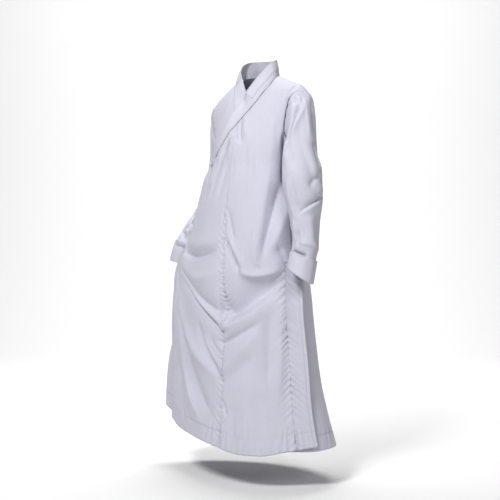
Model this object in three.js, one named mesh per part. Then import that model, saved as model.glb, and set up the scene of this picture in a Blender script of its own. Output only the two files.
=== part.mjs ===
// A long cross-collar kung fu robe, hollow and standing as it is worn, with both sleeve ends at the side slits.
// Millimetres, +Z up. The origin is the centre of the neck base, where the robe hangs from the shoulders.
// The wearer faces -Y and the wearer's left is +X.
import * as THREE from "three";

const mix = (a, b, t) => a + (b - a) * t;

// Driving dimensions
const WALL = 1.6; // cloth thickness
const SEAM = 0.3; // gap between two pieces that are sewn together
const ARMHOLE_GAP = 0.75; // the same at the armholes, where both edges curve
const UNDERARM_Z = -300; // level where the armholes end
const OVERLAY = 5.4; // how far the outer front lies above the under front
const BAND_LIFT = 2.4; // how far the collar band lies above the front it is sewn to
const GUARD_LIFT = 2.3; // how far the collar guard lies above the collar band
const CLOTH_COLOUR = 0xd5d3e2;
const BAND_COLOUR = 0xdad8e6;

// Outer front, one row for each level: where the centre front and the two edges stand in plan.
// turn is the direction in degrees in which the section meets the edge: 0 runs sideways, 90 runs to the back.
const OUTER_FRONT = [
  { z: -300, centre: 166, leftX: 182, leftY: -8, leftTurn: 90, rightX: -146, rightY: -100, rightTurn: 40 },
  { z: -330, centre: 170, leftX: 182, leftY: -12, leftTurn: 90, rightX: -156, rightY: -104, rightTurn: 42 },
  { z: -394, centre: 182, leftX: 183, leftY: -16, leftTurn: 90, rightX: -180, rightY: -117, rightTurn: 44 },
  { z: -450, centre: 190, leftX: 184, leftY: -22, leftTurn: 90, rightX: -197, rightY: -119, rightTurn: 44 },
  { z: -520, centre: 198, leftX: 188, leftY: -34, leftTurn: 88, rightX: -220, rightY: -119, rightTurn: 42 },
  { z: -607, centre: 208, leftX: 196, leftY: -46, leftTurn: 80, rightX: -252, rightY: -122, rightTurn: 34 },
  { z: -690, centre: 217, leftX: 208, leftY: -47, leftTurn: 64, rightX: -286, rightY: -144, rightTurn: 16 },
  { z: -750, centre: 221, leftX: 228, leftY: -45, leftTurn: 48, rightX: -300, rightY: -149, rightTurn: 12 },
  { z: -790, centre: 222, leftX: 237, leftY: -52, leftTurn: 42, rightX: -305, rightY: -147, rightTurn: 14 },
  { z: -900, centre: 218, leftX: 252, leftY: -62, leftTurn: 38, rightX: -320, rightY: -142, rightTurn: 18 },
  { z: -1050, centre: 216, leftX: 272, leftY: -63, leftTurn: 36, rightX: -331, rightY: -130, rightTurn: 24 },
  { z: -1200, centre: 226, leftX: 289, leftY: -65, leftTurn: 38, rightX: -342, rightY: -120, rightTurn: 30 },
  { z: -1390, centre: 244, leftX: 326, leftY: -64, leftTurn: 42, rightX: -350, rightY: -112, rightTurn: 36 },
];

// Back, one row for each level. Below the slit the left edge runs on under the front, first to the knee and then to the end.
// The right edge is sewn to the under front down to the hem.
const BACK = [
  { z: -300, centre: 112, leftX: 182, leftY: -8, leftTurn: 90, rightX: -182, rightY: 2 },
  { z: -394, centre: 108, leftX: 183, leftY: -16, leftTurn: 90, rightX: -186, rightY: 0 },
  { z: -450, centre: 106, leftX: 184, leftY: -22, leftTurn: 90, rightX: -188, rightY: -2 },
  { z: -520, centre: 108, leftX: 188, leftY: -34, leftTurn: 92, rightX: -194, rightY: -12 },
  { z: -607, centre: 116, leftX: 196, leftY: -46, leftTurn: 100, rightX: -208, rightY: -36 },
  { z: -690, centre: 126, leftX: 208, leftY: -47, leftTurn: 116, rightX: -230, rightY: -60 },
  { z: -750, centre: 131, leftX: 219, leftY: -26, leftTurn: 100, rightX: -250, rightY: -60 },
  { z: -800, centre: 136, leftX: 228, leftY: -20, leftTurn: 92, rightX: -272, rightY: -58 },
  { z: -900, centre: 148, leftX: 234, leftY: -14, leftTurn: 90, rightX: -326, rightY: -58 },
  { z: -980, centre: 156, leftX: 242, leftY: -12, leftTurn: 90, rightX: -370, rightY: -60 },
  { z: -1050, centre: 164, leftX: 250, leftY: -10, leftTurn: 90, rightX: -402, rightY: -62 },
  { z: -1150, centre: 178, leftX: 264, leftY: -8, leftTurn: 90, rightX: -420, rightY: -62 },
  { z: -1250, centre: 194, leftX: 288, leftY: -6, leftTurn: 90, rightX: -427, rightY: -62 },
  { z: -1390, centre: 220, leftX: 322, leftY: -4, leftTurn: 90, rightX: -426, rightY: -58 },
];

// The underlap of the back below the left slit, in plan, one row for each level.
const UNDERLAP = [
  { z: -690, knee: 8, endX: 108, endY: -112 },
  { z: -750, knee: 26, endX: 118, endY: -112 },
  { z: -800, knee: 34, endX: 128, endY: -108 },
  { z: -900, knee: 48, endX: 146, endY: -104 },
  { z: -1050, knee: 52, endX: 168, endY: -104 },
  { z: -1390, knee: 60, endX: 222, endY: -112 },
];

// Hem heights against the share of the half width, from the right edge (-1) over the centre (0) to the left edge (1).
const FRONT_HEM = [
  { a: -1, z: -1302 }, { a: -0.8, z: -1316 }, { a: -0.51, z: -1326 }, { a: -0.08, z: -1352 },
  { a: 0.24, z: -1373 }, { a: 0.43, z: -1374 }, { a: 0.7, z: -1359 }, { a: 1, z: -1343 },
];
const BACK_HEM = [
  { a: -1, z: -1262 }, { a: -0.6, z: -1318 }, { a: 0, z: -1370 }, { a: 0.6, z: -1366 }, { a: 1, z: -1360 }, { a: 1.4, z: -1366 },
];
const UNDER_HEM = [
  { a: -1, z: -1262 }, { a: -0.6, z: -1290 }, { a: 0.4, z: -1330 },
];

// The shoulder line of the yoke and how the cloth leaves it towards the front and the back, against the half width's share.
const YOKE_FRONT = [
  { a: 0, x: 0, y: -62, leftZ: -62, rightZ: -62, topY: -28, topZ: -42, lowY: 18, lowZ: 120 },
  { a: 0.16, x: 42, y: -46, leftZ: -38, rightZ: -38, topY: -40, topZ: -34, lowY: 18, lowZ: 120 },
  { a: 0.32, x: 76, y: 0, leftZ: -4, rightZ: -8, topY: -62, topZ: 0, lowY: 18, lowZ: 124 },
  { a: 0.62, x: 142, y: 2, leftZ: -26, rightZ: -44, topY: -64, topZ: 0, lowY: 8, lowZ: 120 },
  { a: 0.84, x: 190, y: 3, leftZ: -45, rightZ: -76, topY: -58, topZ: -2, lowY: -24, lowZ: 104 },
  { a: 1, x: 216, y: 4, leftZ: -70, rightZ: -100, topY: -56, topZ: -4, lowY: -62, lowZ: 92 },
];
const YOKE_BACK = [
  { a: 0, x: 0, y: 70, leftZ: 4, rightZ: 4, topY: 30, topZ: -26, lowY: 6, lowZ: 120 },
  { a: 0.16, x: 44, y: 54, leftZ: 3, rightZ: 3, topY: 40, topZ: -16, lowY: 6, lowZ: 120 },
  { a: 0.32, x: 76, y: 0, leftZ: -4, rightZ: -8, topY: 76, topZ: 0, lowY: 6, lowZ: 124 },
  { a: 0.62, x: 142, y: 2, leftZ: -26, rightZ: -44, topY: 74, topZ: 0, lowY: 10, lowZ: 120 },
  { a: 0.84, x: 190, y: 3, leftZ: -45, rightZ: -76, topY: 64, topZ: -2, lowY: 36, lowZ: 104 },
  { a: 1, x: 216, y: 4, leftZ: -70, rightZ: -100, topY: 58, topZ: -4, lowY: 66, lowZ: 92 },
];

// The collar band down the wearer's left, over the chest to the closure. Up to the shoulder (at 0 to 2) the seam edge
// lies on the back at the share a. From there it lies on the front at seamX, seamZ as seen from the front.
const COLLAR_NECK = [
  { at: 0, a: 0, edgeX: 0, edgeY: 58, edgeZ: 60 },
  { at: 1, a: 0.17, edgeX: 38, edgeY: 46, edgeZ: 60 },
  { at: 2, a: 0.33, edgeX: 61, edgeY: 12, edgeZ: 56 },
  { at: 3, a: 0.38, edgeX: 66, edgeY: -20, edgeZ: 43 },
];
const COLLAR_CHEST = [
  { at: 3, seamX: 92, seamZ: -17, edgeX: 66, edgeY: -20, edgeZ: 43 },
  { at: 4, seamX: 89, seamZ: -36, edgeX: 58, edgeY: -50, edgeZ: 15 },
  { at: 5, seamX: 76, seamZ: -62, edgeX: 38, edgeY: -74, edgeZ: -19 },
  { at: 6, seamX: 57, seamZ: -101, edgeX: 8, edgeY: -92, edgeZ: -64 },
  { at: 7, seamX: 22, seamZ: -151, edgeX: -22, edgeY: -112, edgeZ: -110 },
  { at: 8, seamX: -24, seamZ: -206, edgeX: -57, edgeY: -130, edgeZ: -184 },
  { at: 9, seamX: -58, seamZ: -254, edgeX: -77, edgeY: -130, edgeZ: -241 },
  { at: 10, seamX: -104, seamZ: -308, edgeX: -116, edgeY: -118, edgeZ: -296 },
  { at: 11, seamX: -150, seamZ: -336, edgeX: -160, edgeY: -118, edgeZ: -330 },
];
const NAPE_GAP = 0.004; // where both bands start, at the nape
const BAND_ENDS = 9.9; // where the outer band stops
const UNDER_BAND_ENDS = 8.2; // where the hidden end of the under band stops
const GUARD_SHARE = 0.7; // the guard's width as a share of the band's
const BAND_COLUMNS = 26;
const GUARD_COLUMNS = 16;
const GUARD_ENDS = mix(NAPE_GAP, BAND_ENDS, GUARD_COLUMNS / BAND_COLUMNS); // where the guard stops, at the crossing
const UNDER_BAND_COLUMNS = 18;
const UNDER_GUARD_COLUMNS = 10; // the guard of the under band stops short of the crossing

// Sleeves below the cap, one row for each section: centre, half widths across and fore-and-aft, and how far its outer
// side hangs below its centre.
const LEFT_SLEEVE = [
  { at: 0, x: 238, y: -66, z: -320, across: 60, deep: 70, slant: 0 },
  { at: 1, x: 250, y: -74, z: -391, across: 66, deep: 76, slant: 0 },
  { at: 2, x: 255, y: -68, z: -445, across: 66, deep: 74, slant: 0 },
  { at: 3, x: 258, y: -66, z: -482, across: 60, deep: 68, slant: 0 },
  { at: 4, x: 261, y: -66, z: -534, across: 52, deep: 58, slant: 0 },
  { at: 5, x: 264, y: -68, z: -600, across: 47, deep: 50, slant: 3 },
  { at: 6, x: 266, y: -84, z: -664, across: 45, deep: 48, slant: 12 },
  { at: 7, x: 268, y: -108, z: -734, across: 48, deep: 50, slant: 28 },
];
const RIGHT_SLEEVE = [
  { at: 0, x: -238, y: 78, z: -305, across: 58, deep: 66, slant: 0 },
  { at: 1, x: -256, y: 84, z: -385, across: 58, deep: 66, slant: 0 },
  { at: 2, x: -263, y: 58, z: -468, across: 56, deep: 62, slant: 0 },
  { at: 3, x: -270, y: 6, z: -530, across: 51, deep: 56, slant: 0 },
  { at: 4, x: -278, y: -46, z: -578, across: 46, deep: 50, slant: 0 },
  { at: 5, x: -290, y: -76, z: -624, across: 44, deep: 48, slant: 0 },
  { at: 6, x: -299, y: -87, z: -660, across: 45, deep: 49, slant: 2 },
  { at: 7, x: -309, y: -92, z: -702, across: 46, deep: 50, slant: 4 },
];

const vec = (x, y, z) => new THREE.Vector3(x, y, z);
const clamp = (t, low = 0, high = 1) => Math.min(high, Math.max(low, t));
const ease = (t) => clamp(t) ** 2 * (3 - 2 * clamp(t));

// One named column of a table against its key column, as a smooth curve that doesn't overshoot its rows.
function curve(rows, key, name) {
  const xs = rows.map((r) => r[key]);
  const ys = rows.map((r) => r[name]);
  if (xs[0] > xs[xs.length - 1]) {
    xs.reverse();
    ys.reverse();
  }
  const slopes = xs.map((_, i) => {
    if (i === 0 || i === xs.length - 1) return 0;
    const before = (ys[i] - ys[i - 1]) / (xs[i] - xs[i - 1]);
    const after = (ys[i + 1] - ys[i]) / (xs[i + 1] - xs[i]);
    return before * after <= 0 ? 0 : (2 * before * after) / (before + after);
  });
  slopes[0] = (ys[1] - ys[0]) / (xs[1] - xs[0]);
  slopes[xs.length - 1] = (ys.at(-1) - ys.at(-2)) / (xs.at(-1) - xs.at(-2));
  return (x) => {
    const p = clamp(x, xs[0], xs.at(-1));
    let i = 0;
    while (i < xs.length - 2 && p > xs[i + 1]) i++;
    const h = xs[i + 1] - xs[i];
    const t = (p - xs[i]) / h;
    const t2 = t * t;
    const t3 = t2 * t;
    return (
      ys[i] * (2 * t3 - 3 * t2 + 1) + slopes[i] * h * (t3 - 2 * t2 + t) +
      ys[i + 1] * (3 * t2 - 2 * t3) + slopes[i + 1] * h * (t3 - t2)
    );
  };
}

// All columns of a table at once: returns a row for any value of the key.
function sheetOf(rows, key) {
  const names = Object.keys(rows[0]).filter((n) => n !== key);
  const curves = names.map((n) => curve(rows, key, n));
  return (x) => Object.fromEntries(names.map((n, i) => [n, curves[i](x)]));
}

function bezier(p0, p1, p2, p3, t) {
  const s = 1 - t;
  return vec(0, 0, 0)
    .addScaledVector(p0, s * s * s)
    .addScaledVector(p1, 3 * s * s * t)
    .addScaledVector(p2, 3 * s * t * t)
    .addScaledVector(p3, t * t * t);
}

// A half section in plan, from the centre to an edge, walked by its share of the length.
const HANDLE = 0.55;
const sections = new Map();
function halfSection(name, z, centreY, edgeX, edgeY, turn, handle = HANDLE) {
  const key = name + z.toFixed(2);
  if (!sections.has(key)) {
    const side = Math.sign(edgeX);
    const angle = (turn * Math.PI) / 180;
    const back = Math.abs(edgeY - centreY);
    const reach = mix(Math.abs(edgeX), back, Math.sin(angle)) * handle;
    const p0 = vec(0, centreY, 0);
    const p1 = vec(edgeX * handle, centreY, 0);
    const p3 = vec(edgeX, edgeY, 0);
    const p2 = vec(
      edgeX - side * Math.cos(angle) * reach,
      edgeY - Math.sign(edgeY - centreY) * Math.sin(angle) * reach,
      0,
    );
    const steps = 32;
    const points = Array.from({ length: steps + 1 }, (_, i) => bezier(p0, p1, p2, p3, i / steps));
    const lengths = [0];
    for (let i = 1; i <= steps; i++) lengths.push(lengths[i - 1] + points[i].distanceTo(points[i - 1]));
    sections.set(key, { points, lengths });
  }
  const { points, lengths } = sections.get(key);
  return (share) => {
    const want = clamp(share) * lengths.at(-1);
    let i = 1;
    while (i < lengths.length - 1 && lengths[i] < want) i++;
    const t = (want - lengths[i - 1]) / (lengths[i] - lengths[i - 1]);
    return points[i - 1].clone().lerp(points[i], t);
  };
}

const frontAt = sheetOf(OUTER_FRONT, "z");
const backAt = sheetOf(BACK, "z");
const underlapAt = sheetOf(UNDERLAP, "z");
const frontHem = curve(FRONT_HEM, "a", "z");
const backHem = curve(BACK_HEM, "a", "z");
const underHem = curve(UNDER_HEM, "a", "z");
const yokeFrontAt = sheetOf(YOKE_FRONT, "a");
const yokeBackAt = sheetOf(YOKE_BACK, "a");

// Base surfaces below the underarm level. a runs from -1 at the right edge to 1 at the left edge.
function outerBelow(a, z) {
  const r = frontAt(z);
  const p = a >= 0
    ? halfSection("outer left", z, -r.centre, r.leftX, r.leftY, r.leftTurn)(a)
    : halfSection("outer right", z, -r.centre, r.rightX, r.rightY, r.rightTurn)(-a);
  p.z = z;
  return p;
}

// How far the under front falls back from the outer front below the chest.
const underInset = (z) => OVERLAY + 20 * ease((UNDERARM_Z + 60 - z) / 260);

// Its right edge is sewn to the back and lies further out than the outer front's edge, so it swings in behind that.
function underBelow(a, z) {
  const r = frontAt(z);
  const b = backAt(z);
  const centre = -(r.centre - underInset(z));
  const hollow = ease((-690 - z) / 300);
  const p = a >= 0
    ? halfSection("under left", z, centre, r.leftX - underInset(z), r.leftY, r.leftTurn)(a)
    : halfSection("under right", z, centre, b.rightX, b.rightY, 90, mix(HANDLE, 0.24, hollow))(-a);
  p.z = z;
  return p;
}

function backBelow(a, z) {
  const r = backAt(z);
  if (a <= 1) {
    const p = a >= 0
      ? halfSection("back left", z, r.centre, r.leftX, r.leftY, r.leftTurn)(a)
      : halfSection("back right", z, r.centre, r.rightX, r.rightY, 90)(-a);
    p.z = z;
    return p;
  }
  const { knee, endX, endY } = underlapAt(z);
  const p0 = vec(r.leftX, r.leftY, z);
  const p1 = vec(r.leftX, r.leftY - knee * 0.6, z);
  const p2 = vec(r.leftX - 6, r.leftY - knee, z);
  return bezier(p0, p1, p2, vec(endX, endY, z), (a - 1) / UNDERLAP_SHARE);
}
const UNDERLAP_SHARE = 0.4; // the underlap's width as a share of the back's half width

// Yoke surfaces above the underarm level. v runs from 0 at the shoulder line to 1 at the underarm level.
function yoke(rows, below, inset, a, v) {
  const r = rows(Math.abs(a));
  const side = a < 0 ? -1 : 1;
  const p0 = vec(side * r.x, r.y, a < 0 ? r.rightZ : r.leftZ);
  const p3 = below(a, UNDERARM_Z);
  const p1 = vec(p0.x, p0.y + r.topY + inset * 1.7, p0.z + r.topZ);
  const p2 = vec(mix(p3.x, p0.x, 0.12), p3.y + r.lowY, p3.z + r.lowZ);
  return bezier(p0, p1, p2, p3, v);
}

// A whole surface, from the shoulder line to the hem: v up to 1 is the yoke, and past 1 it counts the drop below it in metres.
function surface(rows, below, inset = 0) {
  return (a, v) => (v <= 1 ? yoke(rows, below, inset, a, v) : below(a, UNDERARM_Z - (v - 1) * 1000));
}
const outerFront = surface(yokeFrontAt, outerBelow);
const underFront = surface(yokeFrontAt, underBelow, OVERLAY);
const back = surface(yokeBackAt, backBelow);
const dropOf = (z) => 1 + (UNDERARM_Z - z) / 1000;

// Outward normal of a surface by differences. turn is -1 for the back, whose columns run the other way round.
function normalOf(surf, a, v, turn = 1) {
  const e = 0.004;
  const across = surf(Math.min(a + e, 2), v).sub(surf(a - e, v));
  const down = surf(a, v + e).sub(surf(a, Math.max(v - e, 0)));
  return across.cross(down).multiplyScalar(-turn).normalize();
}

// The place (a, v) where a front surface shows at x and z from the front.
function placeOn(surf, x, z) {
  let a = x / 200;
  let v = 0.5;
  for (let i = 0; i < 14; i++) {
    const e = 1e-3;
    const p = surf(a, v);
    const pa = surf(a + e, v).sub(p).divideScalar(e);
    const pv = surf(a, v + e).sub(p).divideScalar(e);
    const det = pa.x * pv.z - pa.z * pv.x;
    const dx = x - p.x;
    const dz = z - p.z;
    a += clamp((dx * pv.z - dz * pv.x) / det, -0.25, 0.25);
    v += clamp((dz * pa.x - dx * pa.z) / det, -0.25, 0.25);
    a = clamp(a, -0.999, 0.999);
    v = clamp(v, 0.02, 2);
  }
  return { a, v };
}


// Folds as seen from the front or back: a soft ridge (depth above 0) or trough along a line from 1 to 2 that bows sideways.
const FRONT_FOLDS = [
  // chest, from the band and the left armhole
  { x1: -16, z1: -247, x2: -95, z2: -463, bow: 0, width: 16, depth: -8 },
  { x1: 8, z1: -250, x2: -58, z2: -470, bow: -4, width: 18, depth: 5 },
  { x1: 38, z1: -189, x2: 52, z2: -330, bow: 0, width: 16, depth: -4 },
  { x1: 91, z1: -270, x2: 113, z2: -470, bow: 5, width: 22, depth: -5 },
  { x1: 158, z1: -95, x2: 163, z2: -260, bow: 4, width: 14, depth: -9 },
  // down to the wearer's left hand
  { x1: 13, z1: -495, x2: 46, z2: -589, bow: 0, width: 13, depth: -6 },
  { x1: 130, z1: -455, x2: 147, z2: -690, bow: 7, width: 15, depth: -11 },
  { x1: 164, z1: -500, x2: 192, z2: -680, bow: -8, width: 16, depth: 8 },
  { x1: 90, z1: -520, x2: 112, z2: -680, bow: 4, width: 22, depth: 6 },
  // swags hanging from the left hand
  { x1: 2, z1: -615, x2: 186, z2: -711, bow: -52, width: 23, depth: 14 },
  { x1: 3, z1: -755, x2: 190, z2: -724, bow: -43, width: 20, depth: -12 },
  { x1: 13, z1: -949, x2: 196, z2: -761, bow: -21, width: 21, depth: 12 },
  { x1: -4, z1: -884, x2: 187, z2: -740, bow: -34, width: 17, depth: -10 },
  { x1: 31, z1: -1074, x2: 179, z2: -810, bow: -10, width: 18, depth: -7 },
  { x1: 60, z1: -1120, x2: 186, z2: -850, bow: -8, width: 20, depth: 5 },
  // swags hanging from the right hand
  { x1: -250, z1: -647, x2: -1, z2: -636, bow: -27, width: 19, depth: 11 },
  { x1: -236, z1: -608, x2: -30, z2: -628, bow: -24, width: 16, depth: -10 },
  { x1: -262, z1: -668, x2: -4, z2: -800, bow: -8, width: 23, depth: 8 },
  { x1: -265, z1: -690, x2: -3, z2: -929, bow: 19, width: 18, depth: -9 },
  { x1: -264, z1: -700, x2: -3, z2: -1010, bow: -14, width: 22, depth: 7 },
  { x1: -254, z1: -715, x2: -3, z2: -1108, bow: -30, width: 20, depth: -8 },
  // towards the hem
  { x1: -209, z1: -1098, x2: -69, z2: -1299, bow: -17, width: 16, depth: 8 },
  { x1: -160, z1: -1092, x2: -62, z2: -1262, bow: -8, width: 15, depth: -7 },
  { x1: 100, z1: -1060, x2: 118, z2: -1370, bow: 0, width: 26, depth: 5 },
  { x1: 178, z1: -960, x2: 205, z2: -1360, bow: 0, width: 24, depth: -5 },
];
const BACK_FOLDS = [
  { x1: -70, z1: -150, x2: -95, z2: -620, bow: 6, width: 26, depth: -7 },
  { x1: 75, z1: -160, x2: 92, z2: -600, bow: -5, width: 24, depth: -7 },
  { x1: 0, z1: -420, x2: 8, z2: -900, bow: 4, width: 34, depth: 6 },
  { x1: -168, z1: -470, x2: -40, z2: -570, bow: -18, width: 18, depth: -6 },
  { x1: 40, z1: -580, x2: 166, z2: -490, bow: -16, width: 18, depth: -5 },
  { x1: -150, z1: -640, x2: -215, z2: -1310, bow: 0, width: 26, depth: -9 },
  { x1: 150, z1: -650, x2: 205, z2: -1340, bow: 0, width: 24, depth: -9 },
  { x1: -110, z1: -760, x2: -138, z2: -1350, bow: 4, width: 28, depth: 8 },
  { x1: 112, z1: -740, x2: 126, z2: -1350, bow: -4, width: 28, depth: 8 },
  { x1: -40, z1: -900, x2: -48, z2: -1365, bow: 0, width: 22, depth: -7 },
  { x1: 52, z1: -880, x2: 60, z2: -1365, bow: 0, width: 22, depth: -7 },
  { x1: -262, z1: -900, x2: -310, z2: -1300, bow: 0, width: 22, depth: 7 },
];

function foldHeight(folds, x, z) {
  let height = 0;
  for (const f of folds) {
    const dx = f.x2 - f.x1;
    const dz = f.z2 - f.z1;
    const length = Math.hypot(dx, dz);
    const t = ((x - f.x1) * dx + (z - f.z1) * dz) / (length * length);
    const s = clamp(t);
    const off = ((x - f.x1) * -dz + (z - f.z1) * dx) / length - f.bow * 4 * s * (1 - s);
    const past = (t - s) * length;
    const taper = 0.25 + 0.75 * Math.min(ease(s / 0.25), ease((1 - s) / 0.3));
    height += f.depth * taper * Math.exp(-(off * off + past * past) / (f.width * f.width));
  }
  return height;
}

// A surface with its folds, as a function that gives the point and its outward normal.
function folded(surf, folds, turn, level = 0) {
  const at = (a, v) => {
    const p = surf(a, v);
    const height = foldHeight(folds, p.x, p.z) * ease((1 - Math.abs(a)) / 0.12) * ease(v / 0.15);
    return p.addScaledVector(normalOf(surf, a, v, turn), height + level);
  };
  return (a, v, lift = 0) => {
    const p = at(a, v);
    const normal = normalOf(at, a, v, turn);
    return { p: p.addScaledVector(normal, lift), normal };
  };
}

// A cloth wall from a grid of points on its outer face, each with its normal. wrap closes it round into a tube,
// and keep says which cells of the grid are cloth.
function wall(name, colour, columns, rows, pointAt, { wrap = false, keep = () => true } = {}) {
  const count = wrap ? columns : columns + 1;
  const id = (i, j) => j * count + (wrap ? i % columns : i);
  const shift = count * (rows + 1);
  const positions = new Float32Array(shift * 6);
  const index = [];
  const quad = (a, b, c, d) => index.push(a, b, c, a, c, d);
  const there = (i, j) => j >= 0 && j < rows && (wrap || (i >= 0 && i < columns)) && keep(wrap ? (i + columns) % columns : i, j);
  const rim = (a, b) => quad(b, a, a + shift, b + shift);
  for (let j = 0; j <= rows; j++) {
    for (let i = 0; i < count; i++) {
      const { p, normal } = pointAt(i / columns, j / rows);
      positions.set([p.x, p.y, p.z], id(i, j) * 3);
      positions.set([p.x - normal.x * WALL, p.y - normal.y * WALL, p.z - normal.z * WALL], (id(i, j) + shift) * 3);
    }
  }
  for (let j = 0; j < rows; j++) {
    for (let i = 0; i < columns; i++) {
      if (!there(i, j)) continue;
      const [a, b, c, d] = [id(i, j), id(i, j + 1), id(i + 1, j + 1), id(i + 1, j)];
      quad(a, b, c, d);
      quad(a + shift, d + shift, c + shift, b + shift);
      if (!there(i, j - 1)) rim(d, a);
      if (!there(i, j + 1)) rim(b, c);
      if (!there(i - 1, j)) rim(a, b);
      if (!there(i + 1, j)) rim(c, d);
    }
  }
  const used = [...new Set(index)].sort((m, n) => m - n);
  const place = new Map(used.map((n, k) => [n, k]));
  const geometry = new THREE.BufferGeometry();
  geometry.setAttribute("position", new THREE.Float32BufferAttribute(used.flatMap((n) => [...positions.subarray(n * 3, n * 3 + 3)]), 3));
  geometry.setIndex(index.map((n) => place.get(n)));
  return named(name, colour, geometry);
}

function named(name, colour, geometry) {
  const mesh = new THREE.Mesh(geometry, new THREE.MeshStandardMaterial({ color: colour, roughness: 0.8 }));
  mesh.name = name;
  return mesh;
}

const outer = folded(outerFront, FRONT_FOLDS, 1);
const under = folded(underFront, [], 1);
const rear = folded(back, BACK_FOLDS, -1);

// The band's seam edge on the front, as the level v for each share a. The panels start a little above it, under the band.
const TUCK = 0.01;
const SHOULDER_GAP = 0.0013;
const seamRows = COLLAR_CHEST.map((r) => placeOn(outerFront, r.seamX, r.seamZ));
seamRows[0].v = 0.04;
const seamLevel = curve(seamRows, "a", "v");
const neckShare = seamRows[0].a;
const frontTop = (a) => (a >= neckShare ? SHOULDER_GAP : Math.max(SHOULDER_GAP, seamLevel(a) - TUCK));
const underTop = (a) => frontTop(-a);

// The slits start at this level. The side strip there is narrow and widens to its full width below.
const SLIT = dropOf(-690);
const halfWidth = (v) => 230 + 130 * clamp((v - 1.2) / 0.9);
const stripShare = (v) => mix(0.16, 0.205, ease((v - SLIT + 0.05) / 0.16));
const seamHalf = (v) => SEAM / 2 / halfWidth(v);
const rightSeamHalf = (v) => seamHalf(v) * (1 + 2 * ease((v - SLIT) / 0.25)); // the seam bends sharply there

// A grid row's level: the slit lies on the row at the share split, and the rows are closer near it, where the swags are.
const rowLevel = (top, hem, split, j) =>
  j < split ? mix(top, SLIT, (j / split) ** 0.78) : mix(SLIT, hem, ((j - split) / (1 - split)) ** 1.3);

// One panel of a surface between two edges, from its top to its hem. above is how many of its rows lie above the slits.
function panel(name, columns, rows, above, surf, edges, top, hem, options) {
  return wall(name, CLOTH_COLOUR, columns, rows, (i, j) => {
    const split = above / rows;
    let a = i;
    let v = 1;
    for (let k = 0; k < 6; k++) {
      a = edges(v, i);
      v = rowLevel(top(a), dropOf(hem(a)), split, j);
    }
    return surf(a, v);
  }, options);
}
const between = (from, to) => (v, i) => mix(from(v), to(v), i);

const frontLeft = panel("front_left_panel", 18, 36, 16, outer,
  (v, i) => {
    const neck = 6 / 18;
    const core = 14 / 18;
    const seam = 1 - stripShare(v) - seamHalf(v);
    if (i <= neck) return mix(seamHalf(v), neckShare, i / neck);
    return i <= core ? mix(neckShare, seam, (i - neck) / (core - neck)) : mix(seam, 1 - seamHalf(v), (i - core) / (1 - core));
  }, frontTop, frontHem, { keep: (i, j) => j < 16 || i < 14 });
const strip = wall("front_left_side_strip", CLOTH_COLOUR, 4, 20, (i, j) => {
  let v = SLIT;
  let a = 1;
  for (let k = 0; k < 6; k++) {
    a = mix(1 - stripShare(v) + seamHalf(v), 1 - seamHalf(v), i);
    v = mix(SLIT, dropOf(frontHem(a)), j ** 1.3) + (j === 0 ? 0.0004 : 0);
  }
  return outer(a, v);
});
const overlap = panel("front_overlap_panel", 14, 34, 14, outer,
  between((v) => -1 + seamHalf(v), (v) => -seamHalf(v)), frontTop, frontHem);
const underPanel = panel("under_front_panel", 12, 26, 16, under,
  (v, i) => (i <= 0.5 ? mix(-1 + rightSeamHalf(v), -neckShare, i * 2) : mix(-neckShare, 0.34, i * 2 - 1)), underTop, underHem);

// The back: its first columns are the underlap, which only exists below the left slit.
const LAP_COLUMNS = 3;
const LAP_ROW = 18;
const CORE_COLUMNS = 24;
const backPanel = panel("back_panel", LAP_COLUMNS + CORE_COLUMNS, 26, 16, rear,
  (v, i) => {
    const column = i * (LAP_COLUMNS + CORE_COLUMNS) - LAP_COLUMNS;
    if (column < 0) return 1 - (UNDERLAP_SHARE * column) / LAP_COLUMNS;
    return mix(1 - seamHalf(v), -1 + rightSeamHalf(v), column / CORE_COLUMNS);
  },
  () => SHOULDER_GAP, backHem,
  { keep: (i, j) => i >= LAP_COLUMNS || j >= LAP_ROW });

// The collar band: the place for the number at along it and the share t across, from the seam edge to the free edge.
// side is -1 for the band of the under front.
const neckAt = sheetOf(COLLAR_NECK, "at");
const chestAt = sheetOf(COLLAR_CHEST, "at");
function bandPoint(at, t, side) {
  const surf = side > 0 ? outer : under;
  if (at < 0) {
    const p = bandPoint(-at, t, side);
    return vec(-p.x, p.y, p.z);
  }
  if (at < 3) {
    const r = neckAt(at);
    const onBack = rear(r.a * side, 0.035, BAND_LIFT);
    const onFront = surf(r.a * side, 0.04, BAND_LIFT);
    const seam = onBack.p.lerp(onFront.p, ease(at - 2));
    return seam.lerp(vec(r.edgeX * side, r.edgeY, r.edgeZ), t);
  }
  const r = chestAt(at);
  const place = placeOn(outerFront, r.seamX, r.seamZ);
  const seam = surf(place.a * side, Math.max(0.04, place.v), BAND_LIFT).p;
  const tucked = side > 0 ? 0 : 18 * ease((at - 3.2) / 2);
  const free = seam.clone().lerp(vec(r.edgeX * side, r.edgeY + tucked, r.edgeZ), t);
  const onChest = placeOn(outerFront, mix(r.seamX, r.edgeX, t), mix(r.seamZ, r.edgeZ, t));
  return free.lerp(surf(onChest.a * side, onChest.v, BAND_LIFT).p, ease((at - 6) / 0.8));
}
function bandAt(at, t, side, ends, lift) {
  const e = 0.02;
  const along = bandPoint(Math.min(at + e, ends), t, side).sub(bandPoint(at - e, t, side));
  const across = bandPoint(at, Math.min(1, t + e), side).sub(bandPoint(at, Math.max(0, t - e), side));
  const normal = across.cross(along).normalize().multiplyScalar(side);
  return { p: bandPoint(at, t, side).addScaledVector(normal, lift), normal };
}
function band(name, columns, ends, side, from, lift) {
  return wall(name, BAND_COLOUR, columns, 3, (i, j) => {
    const at = mix(NAPE_GAP, ends, side > 0 ? 1 - i : i);
    return bandAt(at, mix(1, from, j), side, 10, lift);
  });
}
const collarBand = band("collar_band", BAND_COLUMNS, BAND_ENDS, 1, 0, 0);
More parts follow.
